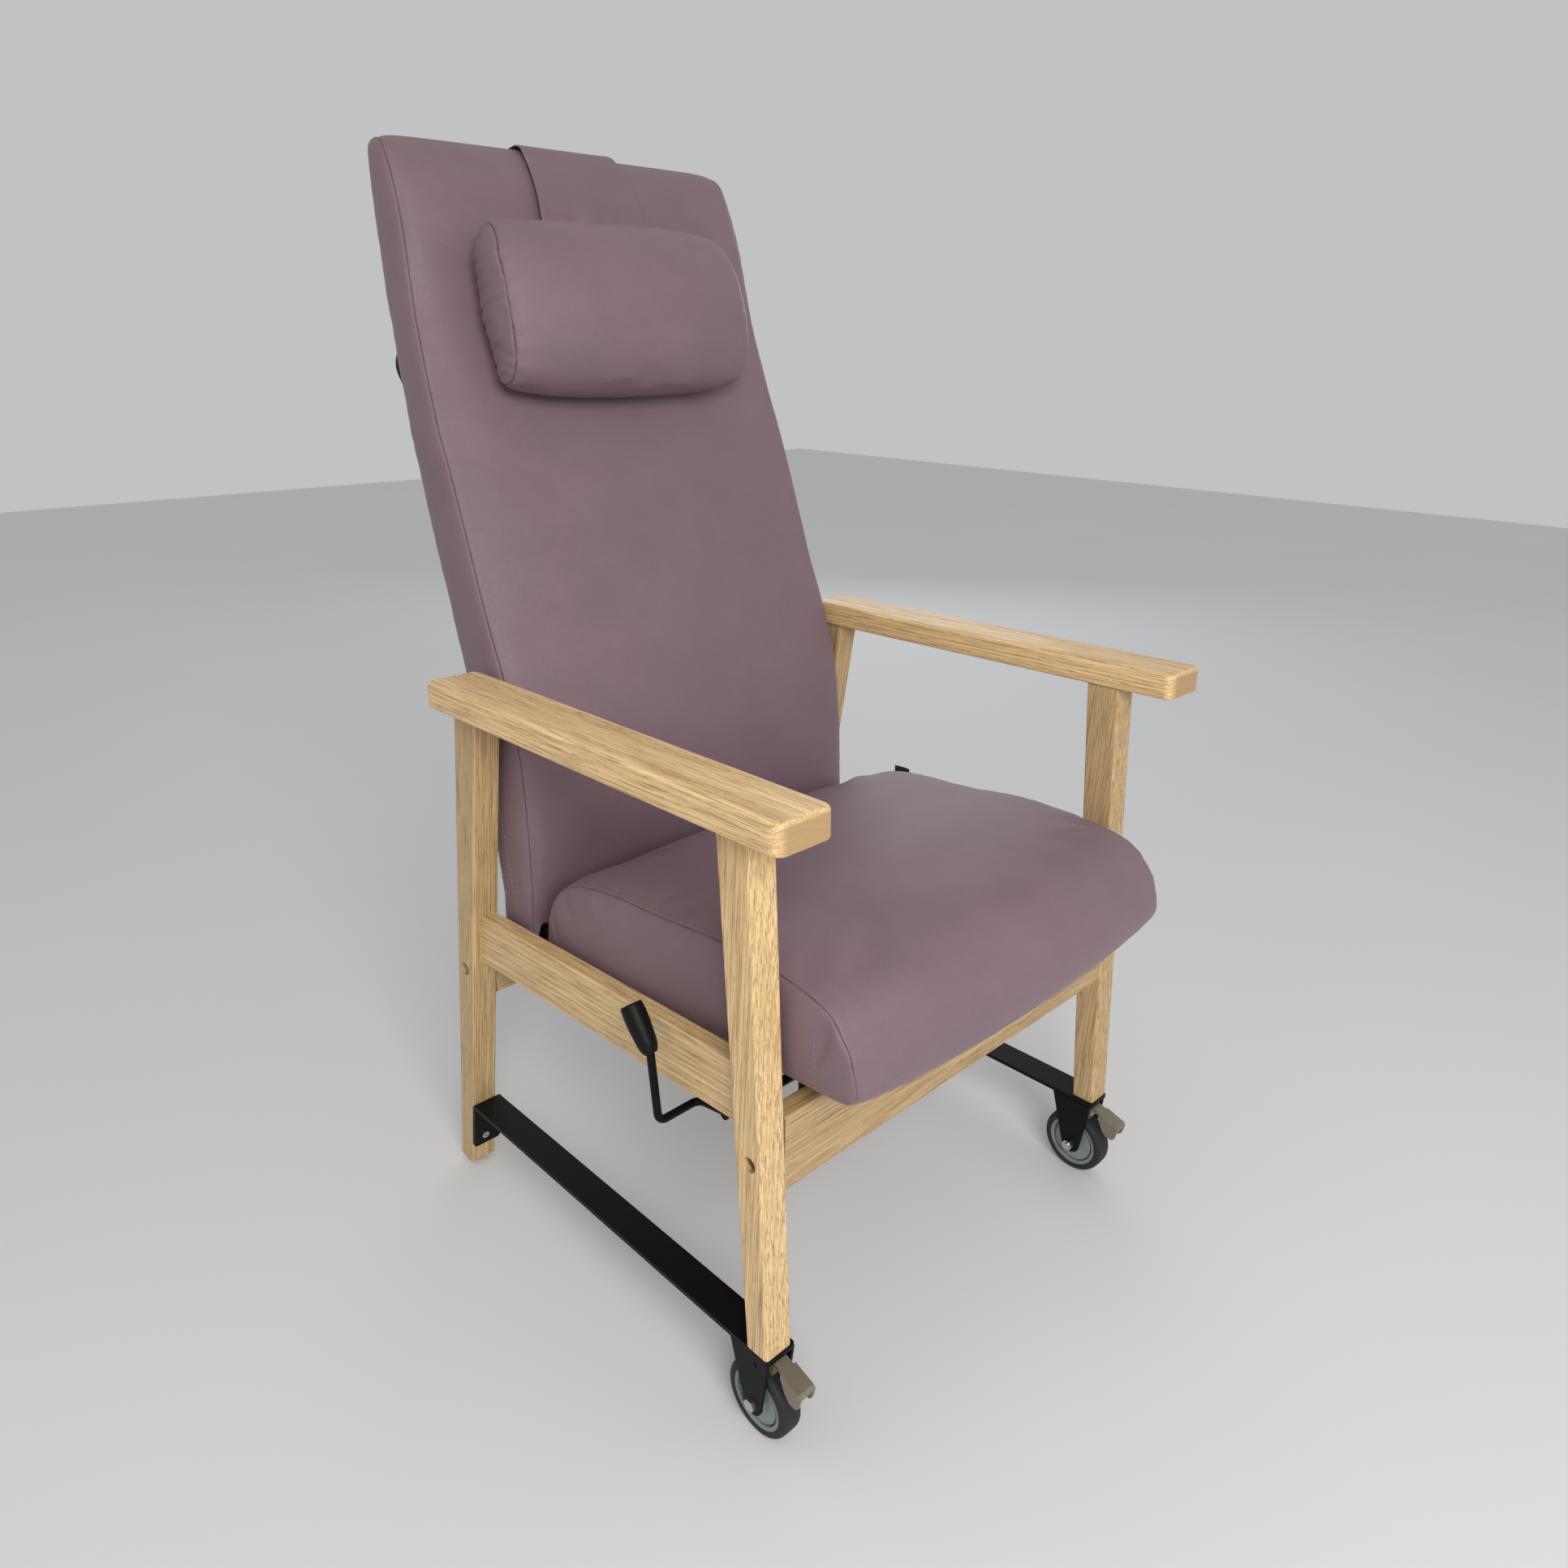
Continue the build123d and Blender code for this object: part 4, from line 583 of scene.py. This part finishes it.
def stitches(name, path, base, material, pitch, length, thick):
    """Short sewn stitches along path, lying on base's surface and bedded half into it."""
    points = np.array(path, float)
    run = run_along(points)
    bm = bmesh.new()
    for i in range(int(run[-1] / (pitch * MM))):
        ends = [Vector([np.interp((i + 0.5) * pitch * MM + e, run, points[:, k]) for k in range(3)])
                for e in (-length * MM / 2, length * MM / 2)]
        found, spot, normal, _ = base.closest_point_on_mesh((ends[0] + ends[1]) / 2)
        along_seam = ends[1] - ends[0]
        if not found or along_seam.length < 1e-5:
            continue
        made = bmesh.ops.create_uvsphere(bm, u_segments=6, v_segments=5, radius=1.0)
        size = Matrix.Diagonal((thick * MM, thick * MM, length * MM / 2, 1))
        at = Matrix.Translation(spot + normal * thick * MM * 0.5)
        bmesh.ops.transform(bm, matrix=at @ along_seam.to_track_quat("Z", "Y").to_matrix().to_4x4() @ size,
                            verts=made["verts"])
    return finished(name, bm, material)


def ring_path(o, ring, first, last):
    """The seam's points between two of its places, before the piece is subdivided."""
    return [o.data.vertices[i].co.copy() for i in ring[first:last]]


# ------------------------------------------------------------------ seat cushion
SEAT_HALF = 247.0
SEAT_POINTS = 121
STEPS = (0, 0.9, 1.9, 3.2, 5, 7.5, 11, 16, 23, 32)
seat_top = smooth_line([(-376, 396), (-382, 404), (-381, 419), (-377, 433), (-373, 446), (-366, 454.5),
                        (-355, 468), (-343, 476), (-324, 482), (-290, 486.5), (-211, 488), (-123.5, 478.5),
                        (-22, 469), (28, 456), (51, 443), (68, 426), (80, 401), (85.5, 376), (84, 357)],
                       SEAT_POINTS)
seat_low = smooth_line([(-376, 396), (-357.5, 391), (-322, 387.2), (-300, 385.4), (0, 361.2), (84, 357)],
                       SEAT_POINTS)
along = np.arange(SEAT_POINTS) / (SEAT_POINTS - 1)
swell_top = np.interp(along, [0, 0.04, 0.12, 0.22, 0.32, 0.6, 0.78, 0.9, 1.0],
                      [14, 16, 15, 10, 7, 7, 3, 2, 0])
swell_low = np.interp(along, [0, 0.05, 0.12, 1.0], [14, 9, 0, 0])
low_skirt = np.interp(seat_low[:, 0], [-205, -165, 74, 84], [0, 12, 12, 5])
seat_skirt = np.r_[np.zeros(SEAT_POINTS), low_skirt[WAY_BACK]]
seat_soft = np.r_[np.interp(along, [0, 0.02, 0.97, 1.0], [0.5, 1, 1, 0.4]), np.full(SEAT_POINTS - 2, 0.25)]
seat, seat_rings, seat_held = cushion_mesh(
    "seat_upholstery", seat_top, seat_low, lambda z: SEAT_HALF, np.r_[swell_top, swell_low[WAY_BACK]], STEPS,
    edge=(6.5, 11.0), side_edge=(4.5, 8.0), side_bulge=4.0, groove=1.7, pucker=(0.6, 18.0, 17.0, 0.6), seed=4,
    rows=12, skirt=seat_skirt, soft=seat_soft)

# ------------------------------------------------------------------ back cushion
BACK_POINTS = 151
BACK_FRONT = [(140, 366.5), (112, 367), (106, 373), (101.5, 400), (101.5, 443), (104.5, 513), (113, 581),
              (134, 652), (161, 716), (208, 845), (242, 929), (270, 1013), (291.5, 1107), (313, 1161),
              (327, 1182), (343, 1191)]
BACK_REAR = [(140, 366.5), (164, 367), (168.5, 373), (170, 400), (195, 520), (221, 643), (270, 796),
             (312, 940), (343, 1056), (361.5, 1166), (359, 1186), (343, 1191)]


def back_half(z):
    return float(np.interp(z, [360, 640, 900, 1150, 1181, 1188, 1191],
                           [250, 247, 245, 232, 231, 228.5, 225]))


back_top = smooth_line(BACK_FRONT, BACK_POINTS)
back_low = smooth_line(BACK_REAR, BACK_POINTS)
along = np.arange(BACK_POINTS) / (BACK_POINTS - 1)
front_swell = np.interp(along, [0, 0.05, 0.15, 0.3, 0.55, 0.8, 0.92, 1.0], [0, 4, 10, 12, 12, 10, 5, 1])
back_z = np.r_[back_top[:, 1], back_low[WAY_BACK, 1]]
hang = np.clip((388 - back_z) / 20, 0, 1)
back, back_rings, back_held = cushion_mesh(
    "back_upholstery", back_top, back_low, back_half, np.r_[front_swell, np.zeros(BACK_POINTS - 2)], STEPS,
    edge=(5.5, 9.0), side_edge=(3.5, 7.0), side_bulge=2.0, groove=1.5, pucker=(0.35, 20.0, 24.0, 0.35),
    seed=11, rows=12, skirt=24.0 * hang**2 * (3 - 2 * hang), soft=1 - 0.6 * hang)

# ------------------------------------------------------------------ head pillow
PILLOW_POINTS = 91
PILLOW_SHIFT = 15  # how far the pillow hangs to the sitter's right of the middle
pillow_mid, pillow_tilt = (208.0, 1021.0), math.radians(15)


def pillow_point(depth, height):
    """(y, z) of a place given by its depth behind the pillow's middle and its height along it."""
    c, s = math.cos(pillow_tilt), math.sin(pillow_tilt)
    return (pillow_mid[0] + depth * c + height * s, pillow_mid[1] - depth * s + height * c)


def pillow_half(z):
    return float(np.interp(z, [930, 1021, 1075, 1110], [162, 165, 162, 151]))


front_chain = [pillow_point(d, h) for d, h in ((21, -77), (6, -76), (-8, -66), (-18, -46), (-23, -18),
                                               (-24, 10), (-21, 40), (-14, 66), (-3, 84), (8, 91),
                                               (18.5, 93))]
rear_chain = [pillow_point(d, h) for d, h in ((21, -77), (30, -66), (36, -36), (38, 0), (37, 36),
                                              (32, 70), (18.5, 93))]
pillow_front = smooth_line(front_chain, PILLOW_POINTS)
pillow_rear = smooth_line(rear_chain, PILLOW_POINTS)
along = np.arange(PILLOW_POINTS) / (PILLOW_POINTS - 1)
fore = np.interp(along, [0, 0.12, 0.3, 0.5, 0.7, 0.88, 1], [13, 16, 18, 18, 16, 9, 6])
rear = np.interp(along, [0, 0.1, 0.3, 0.9, 1], [13, 6, 2, 3, 6])
pillow, pillow_rings, pillow_held = cushion_mesh(
    "pillow_upholstery", pillow_front, pillow_rear, pillow_half, np.r_[fore, rear[WAY_BACK]], STEPS,
    edge=(4.5, 9.0), side_edge=(3.0, 9.0), side_bulge=5.0, groove=1.6, pucker=(0.5, 18.0, 21.0, 1.7), seed=23,
    rows=10, shape=2.6)
side_panels = max(pillow_rings[-1] + pillow_rings[1]) + 1
for v in list(pillow.data.vertices)[side_panels:]:
    # two creases cross each side panel, and the vinyl swells beside the upper one
    d_y, d_z = v.co.y / MM - pillow_mid[0], v.co.z / MM - pillow_mid[1]
    h = d_z * math.cos(pillow_tilt) + d_y * math.sin(pillow_tilt)
    d = d_y * math.cos(pillow_tilt) - d_z * math.sin(pillow_tilt)
    crease = 2.6 * math.exp(-(((h - 8) + 0.12 * d) / 2.4) ** 2)
    crease += 1.2 * math.exp(-((h + 44 - 0.5 * d) / 5) ** 2)
    crease -= 1.3 * math.exp(-((h - 20) / 9) ** 2) + 0.9 * math.exp(-((h + 14) / 9) ** 2)
    v.co.x -= math.copysign(crease, v.co.x) * MM
for v in pillow.data.vertices:
    v.co.x -= PILLOW_SHIFT * MM

# ------------------------------------------------------------------ air pressure, then sewing
inflate(seat, seat_held, cap=0.003, slack=0.004)
inflate(back, back_held, cap=0.002, slack=0.003)
inflate(pillow, pillow_held, cap=0.0022, slack=0.006)

seat_lines = {s: ring_path(seat, ring, 3, 108) for s, ring in seat_rings.items()}
back_lines = {s: ring_path(back, ring, 8, 145) for s, ring in back_rings.items()}
pillow_lines = {s: ring_path(pillow, ring, 2, 89) for s, ring in pillow_rings.items()}
for o in (seat, back, pillow):
    subdivide(o)

sewing = []
for s, side in SIDES:
    for part, base, lines, body, pitch, length, thick in (
            ("seat", seat, seat_lines, "frame", 5.6, 3.8, 0.6),
            ("back", back, back_lines, "backrest", 5.0, 3.4, 0.5),
            ("pillow", pillow, pillow_lines, "pillow", 5.0, 3.4, 0.5)):
        o = stitches(f"{part}_stitches_{side}", lines[s], base, thread, pitch, length, thick)
        sewing.append((o, body))
    for i, shift in enumerate((12.0, 38.0)):
        row = [Vector((s * 0.2500, (np.interp(z, [395, 520, 643], [170, 195, 221]) - shift) * MM, z * MM))
               for z in range(398, 622, 8)]
        sewing.append((stitches(f"back_side_seam_{side}_{i}", row, back, pale_thread, 6.4, 3.0, 0.34),
                       "backrest"))
    holes = [Vector((s * 0.2470, (-338.5 + 0.12 * (z - 400)) * MM, z * MM)) for z in range(404, 452, 3)]
    sewing.append((stitches(f"seat_needle_row_{side}", holes, seat, pale_thread, 6.0, 1.1, 0.5), "frame"))
for o, body in sewing:
    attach(o, body)

# ------------------------------------------------------------------ strap over the top
STRAP_WIDTH = 145
HALF_THICK = 1.15
STRAP_ROWS = 150
CREST = 345  # the strap's front part lies before this y
across = np.linspace(0, 1, 33)


def strap_edges(z):
    """The strap's two edges at height z."""
    return (float(np.interp(z, [1080, 1188], [-80.0, -64.0])),
            float(np.interp(z, [1080, 1188], [71.0, 66.0])))


def strap_offset(y, z, u):
    """How far the strap's middle surface stands off its line at (y, z), u across."""
    edge = min(u, 1 - u) * STRAP_WIDTH
    before = y < CREST
    near = math.exp(-((z - 1100) / 30.0) ** 2) if before else 0.0
    wave = near * (1.7 * math.sin(u * 15 + 0.5) + 1.3 * math.sin(u * 27 + 2.0)) * (1 - math.exp(-edge / 9))
    curl = 2.2 * math.exp(-edge / 7.0)
    front = float(np.interp(z, [1050, 1090, 1165, 1188], [0, 1, 1, 0.3])) if before else 0.0
    lift = front * (3.4 if u > 0.5 else 2.6) * math.exp(-edge / 9.0)
    return wave + lift - 0.25 * curl * (1 - front)


over = []
for y, z in BACK_FRONT[10:-1]:
    off = float(np.interp(z, [929, 1000, 1107, 1161, 1191], [11.5, 11.0, 7.5, 4.0, 1.0]))
    off += float(np.interp(z, [942, 1000, 1060, 1100, 1150, 1182], [2.6, 2.8, 4.5, 8.0, 4.5, 2.6]))
    over.append((y - off * math.cos(0.3), z + off * math.sin(0.3)))
over += [(334, 1193.0), (348, 1195.2), (363.5, 1189)]
over += [(y + 3.6 * math.cos(0.25), z - 3.6 * math.sin(0.25)) for y, z in BACK_REAR[-3:-6:-1]]
over = smooth_line(over, STRAP_ROWS)
over_n = outline_normals(np.vstack([over, [(over[-1] + over[0]) / 2 + (0, -200)]]))[:STRAP_ROWS]
if over_n[STRAP_ROWS // 2][1] < 0:
    over_n = -over_n
down = run_along(over)
bm = bmesh.new()
sheets = []
for face in (1, -1):
    rows = []
    for p, nrm, t in zip(over, over_n, down):
        start, end = strap_edges(p[1])
        wander = 0.9 * math.sin(t / 23.0 + 1.0) + 0.6 * math.sin(t / 11.0)
        line = []
        for u in across:
            edge = min(u, 1 - u) * STRAP_WIDTH
            x = start * (1 - u) + end * u
            x += wander * (1 if u < 0.5 else -0.7) * math.exp(-edge / 20)
            half_thick = HALF_THICK * (1 - 0.75 * math.exp(-edge / 0.8))
            off = strap_offset(p[0], p[1], u) + face * half_thick
            line.append(bm.verts.new(Vector((x, p[0] + nrm[0] * off, p[1] + nrm[1] * off)) * MM))
        rows.append(line)
    sheets.append(rows)
count = len(across)
for rows, flip in zip(sheets, (False, True)):
    for a, b in zip(rows, rows[1:]):
        for j in range(count - 1):
            face = (a[j], a[j + 1], b[j + 1], b[j])
            bm.faces.new(face[::-1] if flip else face)
outside, inside = sheets
for a in range(STRAP_ROWS - 1):
    b = a + 1
    bm.faces.new((outside[a][0], outside[b][0], inside[b][0], inside[a][0]))
    bm.faces.new((outside[b][-1], outside[a][-1], inside[a][-1], inside[b][-1]))
for j in range(count - 1):
    bm.faces.new((outside[0][j + 1], outside[0][j], inside[0][j], inside[0][j + 1]))
    bm.faces.new((outside[-1][j], outside[-1][j + 1], inside[-1][j + 1], inside[-1][j]))
bmesh.ops.recalc_face_normals(bm, faces=bm.faces)
strap = finished("strap_upholstery", bm, mauve)
subdivide(strap)
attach(strap, "backrest")
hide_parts("pillow_strap")

# ------------------------------------------------------------------ counterweight pad on the strap's rear end
low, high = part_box("counterweight")
PAD_HALF = 63.0
PAD_POINTS = 31
PAD_OUTLINE = ((0, -43), (5, -41), (7.5, -30), (8, 0), (7.5, 30), (5, 41), (0, 43))
mid = ((low + high) / 2) / MM
c, s = math.cos(math.radians(15.0)), math.sin(math.radians(15.0))
pad_rear = smooth_line([(mid.y + d * c + h * s, mid.z - d * s + h * c) for d, h in PAD_OUTLINE], PAD_POINTS)
pad_front = smooth_line([(mid.y - d * c + h * s, mid.z + d * s + h * c) for d, h in PAD_OUTLINE], PAD_POINTS)
weight, weight_rings, _ = cushion_mesh(
    "counterweight_pad", pad_rear, pad_front, lambda z: PAD_HALF, np.ones(2 * PAD_POINTS - 2), STEPS[:8],
    edge=(3.0, 5.0), side_edge=(2.0, 5.0), side_bulge=0.8, groove=0.4, pucker=(0.3, 8.0, 9.0, 0.3), seed=31,
    rows=5)
weight_lines = {s: ring_path(weight, ring, 1, 30) for s, ring in weight_rings.items()}
subdivide(weight)
for s, side in SIDES:
    o = stitches(f"counterweight_stitches_{side}", weight_lines[s], weight, thread, 4.2, 2.6, 0.34)
    o.parent = weight
weight.location.x = mid.x * MM
bpy.context.view_layer.update()
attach(weight, "pillow_weight")
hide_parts("counterweight")

# ------------------------------------------------------------------ blank woven tag in the seat's left seam
low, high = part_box("seat_tag")
TAG_ROWS, TAG_COLUMNS = 12, 10
bm = bmesh.new()
rows = []
for i in range(TAG_ROWS + 1):
    v = i / TAG_ROWS
    line = []
    for j in range(TAG_COLUMNS + 1):
        u = j / TAG_COLUMNS
        side_x = 0.35 if v < 0.5 else -0.35
        fold = 1 - abs(2 * v - 1)
        x = (low.x + high.x) / 2 / MM + side_x * min(1, (1 - fold) * 8) + 0.5 * math.sin(u * 3.0 + 0.4) * fold
        z = low.z / MM + (high.z - low.z) / MM * fold + 0.25 * math.sin(u * 5)
        y = low.y / MM + (high.y - low.y) / MM * u
        line.append(bm.verts.new(Vector((x, y, z)) * MM))
    rows.append(line)
for a, b in zip(rows, rows[1:]):
    for j in range(TAG_COLUMNS):
        bm.faces.new((a[j], a[j + 1], b[j + 1], b[j]))
tag = finished("seat_label_blank", bm, nodes["seat_tag"].data.materials[0])
thicken = tag.modifiers.new("Solidify", "SOLIDIFY")
thicken.thickness = 0.0004
thicken.offset = 0
subdivide(tag)
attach(tag, "frame")
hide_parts("seat_tag")

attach(seat, "frame")
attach(back, "backrest")
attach(pillow, "pillow")
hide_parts("seat_cushion")
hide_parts("back_cushion", "back_cover")
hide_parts("head_pillow")

# ------------------------------------------------------------------ floor
bpy.ops.mesh.primitive_plane_add(size=14, location=(0, 0, 0))
floor = bpy.context.object
floor.name = "floor"
k = Nodes("pale_floor")
tone = k.noise(k.place(), 2.0, 2, 0.5)
floor.data.materials.append(k.out(k.mix(tone, (0.70, 0.70, 0.70), (0.73, 0.73, 0.73)), 0.7))
